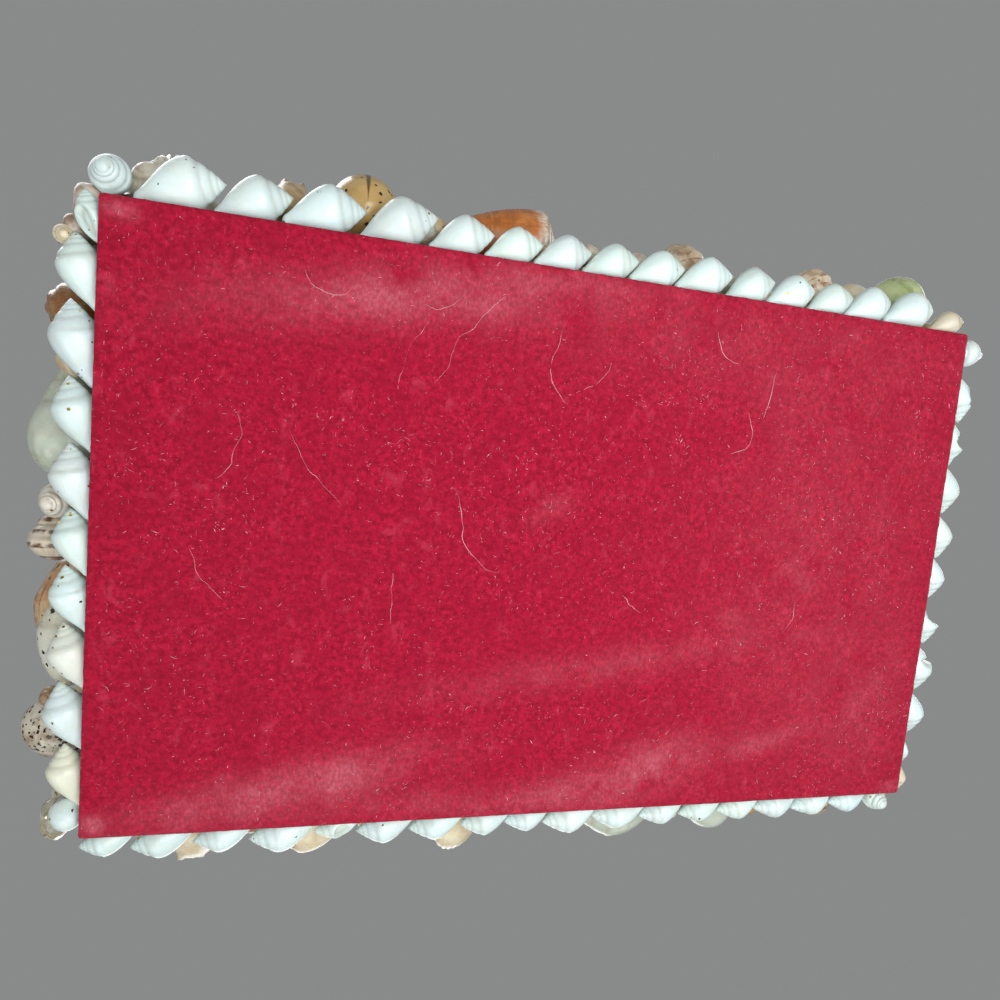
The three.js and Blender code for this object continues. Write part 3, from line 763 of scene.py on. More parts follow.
# node: kind, (length, width, depth), degrees turned up from pointing back along the wall, finish, slot
WALL_SHELLS = {
    "front_wall_ribbed_cockle": ("cockle", (12.5, 12.5, 10.2), 90, "pale", "cream_shell"),
    "front_wall_tan_auger": ("knobbed", (15, 7.6, 10.5), 82, "tan", "tan_shell"),
    "front_wall_dotted_cowrie": ("cowrie", (16, 12.6, 12.7), 90, "cowrie", "tan_shell"),
    "front_wall_orange_cone": ("cone", (23.6, 12.4, 12.7), 4, "orange_middle", "orange_shell"),
    "front_wall_streaked_whelk": ("whelk", (14.5, 11.4, 12), 52, "brown", "brown_shell"),
    "front_wall_striped_whelk": ("whelk", (13.8, 11, 11.6), 24, "striped", "orange_shell"),
    "front_wall_pale_dove": ("dove", (13, 8.4, 10), 86, "cream", "tan_shell"),
    "front_wall_green_nerite": ("nerite", (13.5, 12.4, 12.2), 14, "green", "green_shell"),
    "left_wall_ochre_whelk": ("whelk", (14, 9.2, 11), 78, "amber", "brown_shell"),
    "left_wall_green_olive": ("long_olive", (20.6, 9.6, 12.2), 2, "olive", "green_shell"),
    "left_wall_striped_turban": ("top", (10.6, 8.4, 8.4), 10, "ringed", "brown_shell"),
    "left_wall_orange_auger": ("olive", (20.4, 8.4, 12.7), -2, "flamed", "orange_shell"),
    "left_wall_speckled_olive": ("olive", (17.2, 7.4, 9.6), 2, "dotted", "white_shell"),
    "left_wall_spotted_nerite": ("nerite", (12, 11.6, 12.7), 62, "speckled", "white_shell"),
    "back_wall_knobbed_whelk": ("knobbed", (12, 9.8, 12.4), 64, "cream", "cream_shell"),
    "back_wall_cream_olive": ("olive", (13, 9, 11.4), 0, "cream", "cream_shell"),
    "back_wall_cream_turban": ("turban", (13.4, 12.6, 12.7), 30, "cream", "cream_shell"),
    "back_wall_green_olive": ("olive", (17.4, 10, 12.6), 2, "olive", "green_shell"),
    "back_wall_grey_nerite": ("nerite", (11.6, 10.8, 12.4), 88, "olive", "green_shell"),
    "back_wall_pale_whelk": ("whelk", (13.6, 9, 11.4), 84, "orange", "orange_shell"),
    "back_wall_small_turban": ("turban", (12, 11.4, 10.6), 20, "brown", "brown_shell"),
    "right_wall_brown_cone": ("cone", (19, 12, 12.7), 2, "brown", "brown_shell"),
    "right_wall_cream_turban": ("turban", (13, 12.4, 12.2), 40, "cream", "cream_shell"),
    "right_wall_tan_olive": ("olive", (17.6, 9.6, 11), 88, "tan", "tan_shell"),
    "right_wall_spotted_cowrie": ("cowrie", (15, 11.4, 12), 4, "speckled", "white_shell"),
    "right_wall_orange_whelk": ("whelk", (15, 11, 11.4), 36, "orange", "orange_shell"),
}
# how much further out than its node a shell stands
STANDS_OUT = {
    "left_wall_striped_turban": 1.7, "front_wall_dotted_cowrie": 0.8, "front_wall_green_nerite": 0.7,
}


# %% Turn a kind into a shell on its node
def large_shell(kind, size, **detail):
    """A shell of that kind with its relief. Ribs stand up beyond the width, so the width is less by them."""
    if kind == "cockle":
        return cockle_shell(size)
    form = "whelk" if kind == "knobbed" else kind
    made = {**LARGE, **RELIEFS.get(kind, {}), "roll": dice.uniform(0, math.tau), **detail}
    ribbed = 1 + made.get("rib", 0)
    return coiled_shell(form, (size[0], size[1] / ribbed, size[2] / ribbed), **made)


def moved_onto(patch, node):
    """The patch moved so that the middle of its box is the middle of the node's."""
    low, high = node_box(node)
    points = patch["points"]
    here = (points.min(0) + points.max(0)) / 2
    return {**patch, "points": points + (low + high) / 2 - here}


# %% Make the larger shells of the walls
for node, (kind, size, turned_up, finish, slot) in WALL_SHELLS.items():
    side = node.split("_")[0]
    turn = math.radians(turned_up)
    shell = placed(large_shell(kind, size), np.zeros(3), [-math.cos(turn), 0, math.sin(turn)], OUT)
    shell = moved_onto(on_side(shell, side), node)
    shell["points"] = shell["points"] + side_frame(side)[0] @ (STANDS_OUT.get(node, 0) * OUT)
    make_piece(node.replace("_wall_", "_") + "_shell", shell, FINISHES[finish], [node])
print("made", len(WALL_SHELLS), "larger shells on the walls")

# %% Make the shells of the lid
TURBAN, PETAL, FAN, CORNER = (15, 19, 19), (20, 10.4, 9.6), (25, 27, 9), (25, 13, 11.5)
lid_plan = [("lid_turban", "turban", TURBAN, UP, "brown", "brown_shell")]
for i in range(6):
    turn = math.tau / 6 * (i + 0.5)
    axis, finish = [math.cos(turn), math.sin(turn), 0], ("cream", "olive", "tan")[i % 3]
    lid_plan.append((f"lid_olive_{i + 1}", "olive", PETAL, axis, finish, "cream_shell"))
for end, sign in (("right", 1), ("left", -1)):
    lid_plan.append((f"lid_cockle_{end}", "cockle", FAN, [sign, 0, 0], "cream", "cream_shell"))
    for edge, across in (("back", 1), ("front", -1)):
        axis = [sign * math.cos(math.pi / 6), across * math.sin(math.pi / 6), 0]
        lid_plan.append((f"lid_cone_{edge}_{end}", "cone", CORNER, axis, "orange", "orange_shell"))
for node, kind, size, axis, finish, slot in lid_plan:
    face = OUT if node == "lid_turban" else UP
    shell = moved_onto(placed(large_shell(kind, size), np.zeros(3), axis, face), node)
    make_piece(node + "_shell", shell, FINISHES[finish], [node])
print("made", len(lid_plan), "shells on the lid")

# %% [markdown]
# ## The upper row on each wall
# Above the larger shells a row of mixed ones lies end to end, every other one turned about. Each wall's
# row is one piece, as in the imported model, and the shells take their colours from their own tint.

# %% Make the upper rows
ROW_WIDTH, ROW_LAP = 10.6, 1.2
ROW_DETAIL = {"sides": 32, "body_rings": 16, "per_turn": 7}
ROW_KINDS = {
    "left": "whelk olive nerite cone turban olive",
    "front": "olive turban cone whelk nerite olive whelk cone turban",
    "right": "cone nerite olive turban whelk olive",
    "back": "turban cone olive nerite whelk cone olive turban whelk",
}
MIXED_GROUNDS = [(226, 214, 186), (206, 172, 126), (236, 232, 218), (190, 136, 84), (200, 204, 176),
                 (170, 124, 84), (222, 190, 160)]
for side, kinds in ROW_KINDS.items():
    node, names, run = f"{side}_wall_upper_row", kinds.split(), SIDES[side][1]
    row_height = np.mean(node_box(node), 0)[2]
    step = run / len(names)
    shells = []
    for i, kind in enumerate(names):
        size = (step + ROW_LAP, ROW_WIDTH, ROW_WIDTH)
        tint = jitter(MIXED_GROUNDS[dice.integers(len(MIXED_GROUNDS))])
        shell = large_shell(kind, size, tint=tint, **ROW_DETAIL)
        middle = [step * (i + 0.5) - run / 2, SHELL_GAP + ROW_WIDTH / 2, row_height]
        shells.append(placed(shell, middle, [1 if i % 2 else -1, 0, 0], OUT))
    row = on_side(joined(shells), side)
    make_piece(f"{side}_upper_shells", row, FINISHES["mixed"], [node])
print("made the upper rows")

# %% [markdown]
# ## Small shells in the gaps
# Whoever glues shells on a box ends with a handful of small ones and pushes them into what is left bare.
# Darts are thrown at the wall or the lid: a dart that lands clear of every shell so far is kept, and a
# small shell lies there, turned any way. Each has few faces, because there are so many of them. A few
# that can be told apart along the foot are set one by one.

# %% Throw the darts
SMALL = {"sides": 16, "body_rings": 8, "per_turn": 3.5}
SMALLEST = {"sides": 12, "body_rings": 7, "per_turn": 3}
FOUND = {"sides": 28, "body_rings": 14, "per_turn": 7}
SLIMNESS, ROUND = {"cone": 0.6, "whelk": 0.66, "olive": 0.52, "dove": 0.56}, 0.86  # width over length
SMALL_KINDS = ["whelk", "whelk", "turban", "cone", "nerite", "olive", "dove", "dove", "moon"]
SMALL_GROUNDS = MIXED_GROUNDS + [(232, 230, 216), (228, 220, 198), (212, 204, 184)]


def darts(low, high, boxes, least, most, tries, lap):
    """Circles (u, v, radius) in a rectangle: each lies clear of the boxes (u, v, half u, half v) and of the
    circles before it, save for a lap, which is a share of its own radius."""
    kept = np.zeros((0, 3))
    for spot in np.column_stack([dice.uniform(low[0], high[0], tries), dice.uniform(low[1], high[1], tries),
                                 np.sort(dice.uniform(least, most, tries))[::-1]]):
        from_box = np.maximum(np.abs(boxes[:, :2] - spot[:2]) - boxes[:, 2:], 0)
        clear_of_boxes = np.all(np.hypot(*from_box.T) > (1 - lap) * spot[2])
        gap = np.hypot(*(kept[:, :2] - spot[:2]).T) - kept[:, 2]
        if clear_of_boxes and np.all(gap > (1 - lap) * spot[2]):
            kept = np.vstack([kept, spot])
    return kept


def small_shell(length, middle, axis, face, kind=None, ground=None, **detail):
    """A placed shell of that length. A kind or ground that isn't given is drawn by chance."""
    kind = kind or SMALL_KINDS[dice.integers(len(SMALL_KINDS))]
    width = length * SLIMNESS.get(kind, ROUND)
    tint = jitter(ground or SMALL_GROUNDS[dice.integers(len(SMALL_GROUNDS))])
    relief = {"ribs": 9, "rib": 0.1} if kind == "whelk" else {}
    made = {**SMALL, **relief, "roll": dice.uniform(0, math.tau), **detail}
    return placed(coiled_shell(kind, (length, width, width), tint=tint, **made), middle, axis, face)


def flat_boxes(nodes, side=None):
    """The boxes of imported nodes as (u, v, half u, half v) in a wall's frame, or seen from above."""
    turn, place = side_frame(side) if side else (np.eye(3), np.zeros(3))
    ends = [(np.array(node_box(node)) - place) @ turn for node in nodes]
    keep = [0, 2] if side else [0, 1]
    return np.array([[*(e.mean(0)[keep]), *(np.abs(e[1] - e[0])[keep] / 2)] for e in ends])


# %% Shells that are set one by one
# side: kind, length, (along, out, up), way the top points, ground
FOUND_SHELLS = {
    "left": [("nerite", 3.4, (-43.9, 5.9, 4.6), (0.2, -0.3, -1), (226, 216, 184)),
             ("moon", 6.6, (-3.2, 6.9, 9.0), (0.1, 0.3, -1), (230, 228, 216)),
             ("whelk", 7.5, (-25.5, 6.2, 13), (-0.9, 0.2, 0.3), (214, 196, 164)),
             ("nerite", 4.2, (29.6, 7.2, 9.5), (0, 0.5, -1), (150, 112, 66)),
             ("turban", 6.0, (44.0, 4.8, 10), (0.2, 0.5, 0.6), (186, 132, 74))],
    "front": [("nerite", 8.4, (75.4, 4.6, 10.5), (0.1, 0.6, -0.6), (208, 208, 192)),
              ("dove", 6.6, (0.4, 5.8, 10.4), (0.95, 0.1, 0.2), (214, 206, 190)),
              ("nerite", 6.0, (-34.3, 6.2, 10.2), (0, 0.6, -0.6), (206, 206, 198)),
              ("whelk", 6.4, (29.8, 5.6, 10.6), (-0.8, 0.3, 0.4), (198, 172, 132))],
    "right": [],
    "back": [("nerite", 5.6, (52.0, 4.6, 8.6), (0, 0.7, -0.7), (206, 196, 170)),
             ("whelk", 6.4, (-32.0, 5.6, 10.4), (0.8, 0.3, 0.4), (206, 186, 150)),
             ("moon", 6.0, (29.5, 5.2, 9.6), (0, 0.5, -0.8), (222, 214, 194))],
}
print("set by hand:", sum(len(found) for found in FOUND_SHELLS.values()), "small shells")

# %% Small shells on the walls
WALL_DARTS = {"least": 2.2, "most": 4.2, "tries": 700, "lap": 0.45}
DARTS_FROM, DARTS_TO, DARTS_INSIDE = 9.5, 34, 2  # heights, and the margin at a wall's ends
CORNER_HEIGHTS, CORNER_LENGTH, CORNER_OUT = (12, 18, 24, 30, 38), 7.2, 1.2
for side, (_, run, _) in SIDES.items():
    named = [n for n in WALL_SHELLS if n.startswith(side + "_")] + [f"{side}_wall_upper_row"]
    inside = run / 2 - DARTS_INSIDE
    spots = darts((-inside, DARTS_FROM), (inside, DARTS_TO), flat_boxes(named, side), **WALL_DARTS)
    shells = []
    for along, up, radius in spots:
        heading = dice.uniform(0, math.tau)
        middle = [along, SHELL_GAP + radius * 0.9 + 0.6, up]
        shells.append(small_shell(2.1 * radius, middle, [math.cos(heading), 0.1, math.sin(heading)], OUT))
    for up in CORNER_HEIGHTS:
        way = [dice.normal(0, 0.3), dice.normal(0, 0.3) + 0.4, dice.choice([-1, 1])]
        middle = [run / 2 + CORNER_OUT, CORNER_OUT, up + dice.normal(0, 0.5)]
        shells.append(small_shell(CORNER_LENGTH, middle, way, OUT))
    for kind, length, middle, axis, ground in FOUND_SHELLS[side]:
        face = OUT if abs(unit(axis)[2]) > 0.5 else UP
        shells.append(small_shell(length, middle, axis, face, kind, ground, **FOUND))
    make_piece(f"{side}_small_shells", on_side(joined(shells), side), FINISHES["mixed"])
    print(side, "has", len(shells), "small shells")

# %% Small shells on the lid
LID_DARTS = {"least": 1.8, "most": 3.6, "tries": 2600, "lap": 0.3}
ROUNDED_OFF = 0.86  # a shell is round, so a dart may land in the corners of its box
LID_MARGIN = 3.4
lid_boxes = flat_boxes([row[0] for row in lid_plan]) * [1, 1, ROUNDED_OFF, ROUNDED_OFF]
inner = np.array([HALF_LENGTH, HALF_WIDTH]) - LID_MARGIN
spots = darts(-inner, inner, lid_boxes, **LID_DARTS)
shells = []
for u, v, radius in spots:
    heading = dice.uniform(0, math.tau)
    middle = [u, v, LID_TOP + 0.5 + radius * 0.8]
    axis = [math.cos(heading), math.sin(heading), 0.1]
    shells.append(small_shell(2.1 * radius, middle, axis, UP, **SMALLEST))
make_piece("lid_small_shells", joined(shells), FINISHES["mixed"])
print("the lid has", len(shells), "small shells")

# %% [markdown]
# ## Glue
# The shells are bedded in glue that has aged to amber. It was spread in lumps, thickest at the top of the
# rope, and it shows as a dark glossy bed wherever two shells leave a gap. Each bed is a grid whose height
# is a sum of random fields. Its edge is pressed down to the board and a fan of faces closes it behind.

# %% Random fields and lumps
BOARD_GAP = 0.02  # the edge of a bed of glue is this far from the board
GLUE_SEED, LID_GLUE_SEED = 40, 50


def field(x, y, grain, seed):
    """A smooth random field of that grain: random values on a square net, eased from knot to knot."""
    net = np.random.default_rng(seed).normal(0, 1, (256, 256))
    u, v = x / grain + 300, y / grain + 300
    i, j = np.floor(u).astype(int), np.floor(v).astype(int)
    a, b = u - i, v - j
    a, b = a * a * (3 - 2 * a), b * b * (3 - 2 * b)
    i, j = i % 256, j % 256
    k, m = (i + 1) % 256, (j + 1) % 256
    return (net[i, j] * (1 - a) + net[k, j] * a) * (1 - b) + (net[i, m] * (1 - a) + net[k, m] * a) * b


def rim_of(grid):
    """The numbers round the edge of a grid, once, starting along its second axis's low side."""
    return np.concatenate([grid[:-1, 0], grid[-1, :-1], grid[:0:-1, -1], grid[0, :0:-1]])


def slab(u, v, height):
    """A closed lump: points (u, v, height) with the edge at the board, and a fan of faces underneath."""
    height = height.copy()
    height[[0, -1], :] = height[:, [0, -1]] = BOARD_GAP
    grid = np.arange(u.size).reshape(u.shape)
    loop = rim_of(grid)
    quads = np.stack([grid[:-1, :-1], grid[1:, :-1], grid[1:, 1:], grid[:-1, 1:]], -1).reshape(-1, 4)
    points = np.concatenate([np.stack([u, v, height], -1).reshape(-1, 3), [[u.mean(), v.mean(), BOARD_GAP]]])
    fan = np.stack([np.roll(loop, -1), loop, np.full(len(loop), u.size)], -1)
    return {"points": points, "faces": [(quads, None), (fan, None)]}


def lumps(u, v, seed):
    """Two fields of 6 mm and 2.4 mm grain, cut off below, so that the lumps stand on a thin coat."""
    return np.clip(0.9 * field(u, v, 6, seed) + 0.6 * field(u, v, 2.4, seed + 1) + 0.4, 0, 2.4)


# %% The amber glue
glue, tree, shader = new_material("Amber glue")
place = object_point(tree)
amber = two_tone(tree, noise(tree, place, 130, 3.0, 0.6), 0.4, 0.62, (52, 34, 20), (134, 86, 38))
# Below 2 mm up the glue is painted near black, fading to amber by 9 mm: a painted shadow line between the
# felt and the shells.
height_for_foot_shadow = put(tree, "SeparateXYZ", None, Vector=place).outputs[2]
amber = blend(tree, rise(tree, height_for_foot_shadow, 0.002, 0.009), colour(44, 32, 22), amber)
milky = rise(tree, noise(tree, place, 90, 2.0, 0.5, 0.4), 0.58, 0.7)
finished(tree, shader, noise(tree, place, 700, 3.0), 0.4, 0.2 * MM, Coat_Weight=0.5,
         Base_Color=blend(tree, times(tree, milky, 0.6), amber, colour(176, 158, 124)),
         Roughness=plus(tree, times(tree, milky, 0.3), 0.16))

# %% The beds of glue
GLUE_STEP, GLUE_LOW, GLUE_HIGH = 0.8, 0.9, 35.4
LID_GLUE_STEP, LID_GLUE_INSET = 1.0, 0.4
for number, (side, (_, run, _)) in enumerate(SIDES.items()):
    u, v = np.meshgrid(np.arange(run / 2 - 0.3, -run / 2, -GLUE_STEP),
                       np.arange(GLUE_LOW, GLUE_HIGH, GLUE_STEP), indexing="ij")
    near_rope = 1.3 * np.exp(-(((v - 7.5) / 2.8) ** 2))  # thickest 7.5 mm up, at the top of the rope
    above_foot = smooth_step(2.5, 7, v)
    bed = slab(u, v, 0.2 + (0.8 * lumps(u, v, GLUE_SEED + number) + near_rope) * above_foot)
    bed["points"] = bed["points"][:, [0, 2, 1]]
    make_piece(f"{side}_glue", on_side(bed, side), glue)
u, v = np.meshgrid(np.arange(LID_GLUE_INSET - HALF_LENGTH, HALF_LENGTH, LID_GLUE_STEP),
                   np.arange(LID_GLUE_INSET - HALF_WIDTH, HALF_WIDTH, LID_GLUE_STEP), indexing="ij")
bed = slab(u, v, 0.3 + 0.7 * lumps(u, v, LID_GLUE_SEED))
bed["points"] = bed["points"] + LID_TOP * UP
make_piece("lid_glue", bed, glue)
print("spread the glue")

# %% [markdown]
# At one bottom corner a drop of clear glue has run over the last shell and set as a glassy rim. It is a
# dome on a flat oval: the radius is that of an ellipsoid, pushed in and out a little by two waves.

# %% The clear drop
def drop(radii, sides=48, rings=24):
    """An ellipsoid from pole to pole, radius x (1 + 0.08 sin 3a + 0.05 cos 5a)."""
    down = np.linspace(0, np.pi, rings + 2)[1:-1, None]
    angle = np.linspace(0, math.tau, sides, endpoint=False)[None, :]
    wave = 1 + 0.08 * np.sin(3 * angle) + 0.05 * np.cos(5 * angle + 1)
    ball = np.stack([np.sin(down) * np.cos(angle) * wave, np.sin(down) * np.sin(angle) * wave,
                     -np.cos(down) * np.ones_like(angle)], -1).reshape(-1, 3)
    points = np.concatenate([[[0, 0, -1]], ball, [[0, 0, 1]]]) * radii
    quads, tip, top = [faces[:, ::-1] for faces, _ in ring_faces(rings, sides)]
    return {"points": points, "faces": [(quads, None), (tip, None), (top, None)]}


clear_glue, tree, shader = new_material("Clear glue")
place = object_point(tree)
finished(tree, shader, Transmission_Weight=0.85, IOR=1.48,
         Base_Color=two_tone(tree, noise(tree, place, 300, 2.0), 0.4, 0.6, (244, 240, 226), (226, 216, 190)),
         Roughness=times(tree, noise(tree, place, 500), 0.16))
DROP_RADII, BEFORE_CORNER, DROP_OUT, DROP_UP = (3.4, 2.6, 2.6), 0.9, 4.6, 4.9
bead = drop(np.array(DROP_RADII))
bead["points"] = bead["points"] + [SIDES["left"][1] / 2 - BEFORE_CORNER, DROP_OUT, DROP_UP]
make_piece("left_clear_glue", on_side(bead, "left"), clear_glue)

# %% [markdown]
# At the other bottom corner of the left side the glue has stayed milky, in three lumps between shells.

# %% The milky lumps
milky_glue, tree, shader = new_material("Milky glue")
place = object_point(tree)
finished(tree, shader, Subsurface_Weight=0.2, Subsurface_Scale=2 * MM,
         Base_Color=two_tone(tree, noise(tree, place, 420, 3.0), 0.4, 0.62, (206, 194, 182), (156, 132, 112)),
         Roughness=plus(tree, times(tree, noise(tree, place, 800), 0.3), 0.2))
# along, out, up, and the three radii of each lump
MILKY_LUMPS = [(-48.6, 2.6, 5.2, 3.4, 2.4, 3.2), (-45.0, 4.6, 6.8, 2.6, 2.2, 2.4),
               (-41.6, 5.0, 7.6, 2.4, 1.8, 2.2)]
milky_beads = []
for row in MILKY_LUMPS:
    lump = drop(np.array(row[3:]), 28, 14)
    milky_beads.append({**lump, "points": lump["points"] + row[:3]})
make_piece("left_milky_glue", on_side(joined(milky_beads), "left"), milky_glue)
print("set one clear drop and", len(milky_beads), "milky lumps")

# %% [markdown]
# ## Gold glitter
# A pinch of gold glitter was shaken over the wet glue, and most of it stuck at the left-hand end. Each
# fleck is a six-sided plate 0.24 to 0.6 mm across, laid on a shell or the glue at a point of its mesh,
# tilted a little from flat.

# %% Points on a piece, and flecks on them
def surface_points(names, count):
    """Random points of those pieces' meshes in millimetres, and the normals there."""
    points, normals = [], []
    for name in names:
        vertices = bpy.data.objects[name].data.vertices
        co, no = np.empty(3 * len(vertices), np.float32), np.empty(3 * len(vertices), np.float32)
        vertices.foreach_get("co", co)
        vertices.foreach_get("normal", no)
        points.append(co.reshape(-1, 3) / MM)
        normals.append(no.reshape(-1, 3))
    points, normals = np.concatenate(points), np.concatenate(normals)
    pick = dice.integers(0, len(points), count)
    return points[pick].astype(float), normals[pick].astype(float)


def flecks(points, normals, radii, thick=0.03):
    """Six-sided plates: corners at radius x (cos, sin) across the normal, one ring above the other."""
    tilted = normals + dice.normal(0, 0.25, normals.shape)
    w = tilted / np.linalg.norm(tilted, axis=1, keepdims=True)
    u = np.cross(w, dice.normal(0, 1, w.shape))
    u /= np.linalg.norm(u, axis=1, keepdims=True)
    v = np.cross(w, u)
    turn = np.arange(6) * math.tau / 6
    ring = np.cos(turn)[None, :, None] * u[:, None] + np.sin(turn)[None, :, None] * v[:, None]
    low = points[:, None] + ring * radii[:, None, None]
    both = np.stack([low, low + thick * w[:, None]], 1)  # fleck, ring, corner, xyz
    number = np.arange(both.size // 3).reshape(both.shape[:3])
    a, b = number[:, 0], number[:, 1]
    walls = np.stack([a, np.roll(a, -1, 1), np.roll(b, -1, 1), b], -1).reshape(-1, 4)
    faces = [(walls, None), (b, None), (a[:, ::-1], None)]
    return {"points": both.reshape(-1, 3), "faces": faces, "smooth": False}


# %% Scatter the glitter
FLECK_RADII = (0.12, 0.3)
left_shells = [n.replace("_wall_", "_") + "_shell" for n in WALL_SHELLS if n.startswith("left")]
GLITTER = [
    (["left_foot_shells"], 70), (left_shells, 80), (["left_glue", "left_small_shells"], 90),
    (["front_foot_shells", "back_foot_shells"], 40), (["front_glue", "back_glue"], 60),
    (["lid_small_shells", "lid_glue"], 60), (["left_upper_shells", "left_lid_shells"], 50),
]
spots = [surface_points(names, count) for names, count in GLITTER]
points, normals = (np.concatenate(part) for part in zip(*spots))
gold, tree, shader = new_material("Gold glitter")
place = object_point(tree)
finished(tree, shader, Metallic=1.0,
         Base_Color=two_tone(tree, noise(tree, place, 900, 0.0), 0.4, 0.6, (232, 190, 84), (190, 140, 40)),
         Roughness=plus(tree, times(tree, noise(tree, place, 1400), 0.2), 0.14))
make_piece("gold_glitter", flecks(points, normals, dice.uniform(*FLECK_RADII, len(points))), gold)
print("scattered", len(points), "flecks of glitter")

# %% [markdown]
# ## The wooden box
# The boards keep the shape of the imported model. They show only inside the box and where shells leave a
# gap, as plain pale wood. Grain is noise drawn out along the board, darker lines are the late wood, and a
# finer noise drawn out the same way makes the pores.

# %% The wood of the boards
wood, tree, shader = new_material("Box wood")
place = object_point(tree)
bent = strayed(tree, place, 16.0, 1.0, (0.004, 0.006, 0.006))
year_rings = noise(tree, scaled(tree, bent, 0.06, 1, 1), 420, 2.0, 0.55)
pores = noise(tree, scaled(tree, place, 0.04, 1, 1), 2600, 2.0, 0.6)
stained = noise(tree, place, 34, 3.0, 0.6)
grain = two_tone(tree, year_rings, 0.36, 0.64, (178, 136, 88), (212, 176, 128))
grain = veiled(tree, grain, stained, 0.52, 0.72, 0.35, (128, 92, 56))
grain = veiled(tree, grain, pores, 0.56, 0.7, 0.5, (120, 82, 48))
finished(tree, shader, calc(tree, "SUBTRACT", year_rings, pores), 0.25, 0.2 * MM, Base_Color=grain,
         Roughness=plus(tree, times(tree, pores, 0.25), 0.5))
BOARDS = ["base_board", "lid_board", "lid_locating_board", *(f"{side}_wall" for side in SIDES)]
for node in BOARDS:
    for board_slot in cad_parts[node].material_slots:
        board_slot.material = wood
print("finished", len(BOARDS), "boards")

# %% [markdown]
# ## The felt underneath
# The underside is one piece of flocked felt, cut to the size of the base. Its surface is a grid whose
# height is a sum of random fields of different grain, the finest less than a millimetre, which is the pile.
# The rim bulges a little and turns up to the board, and a fan of faces closes the side that is glued to it.
# Where the felt has been rubbed the pile is worn and paler: that is worked out here as the value `rub`,
# from soft ovals broken up by random fields.

# %% Worn patches of the felt
# middle (x, y) on the felt, half length, half width, degrees, strength
RUBS = [
    (-37, -41, 27, 4.2, -9, 0.75), (-8, -47.5, 14, 2, -4, 0.45), (-49, 43, 20, 4, -12, 0.9),
    (17, 41.5, 14, 4.2, -16, 1.0), (6, 21, 30, 3, -9, 0.42), (44, 37, 9, 2.2, -14, 0.5),
    (-10, 47, 30, 3, 0, 0.45), (52, -4, 26, 40, 0, 0.2), (66, 30, 14, 18, 0, 0.16),
    (20, -42, 46, 9, 0, 0.2), (-6, -8, 4.5, 2.2, -25, 0.3), (-78.6, 47.9, 1.6, 1.5, 0, 2.0),
    (-78.4, -48, 2.6, 1.3, 10, 1.3), (78, 48, 2, 1.2, 0, 0.8), (46, 3, 4, 3, 0, 0.3),
    (33, 11, 3.4, 2, 0, 0.35),
]


def rubbed(x, y):
    """The sum over the ovals of strength x exp(-(distance in half sizes)^2), broken up by two fields."""
    worn = np.zeros_like(x)
    for mx, my, long, wide, degrees, strength in RUBS:
        c, s = math.cos(math.radians(degrees)), math.sin(math.radians(degrees))
        u, v = (x - mx) * c + (y - my) * s, -(x - mx) * s + (y - my) * c
        worn += strength * np.exp(-((u / long) ** 2) - (v / wide) ** 2)
    broken = 1 + 0.35 * field(x, y, 5, 3) + 0.2 * field(x, y, 1.6, 4) + 0.12 * field(x, y, 0.7, 5)
    return np.clip(worn * broken, 0, 1.2)


print("the felt is rubbed in", len(RUBS), "places")

# %% The felt sheet
FELT_STEP, FELT_CORNER, FELT_OVERHANG, PILE = 0.62, 0.45, 0.3, 0.05
FACE_HEIGHT, EDGE_LIFT = 0.1, 0.1  # how high the face lies, and how much higher it is at its edge
BULGE_HEIGHT, BULGE_OUT = 0.4, 0.1  # where the rim is widest, and how far out it is there
GLUED_IN, RAGGED = 0.25, 0.05  # how far in the rim meets the board, and how ragged the cut is


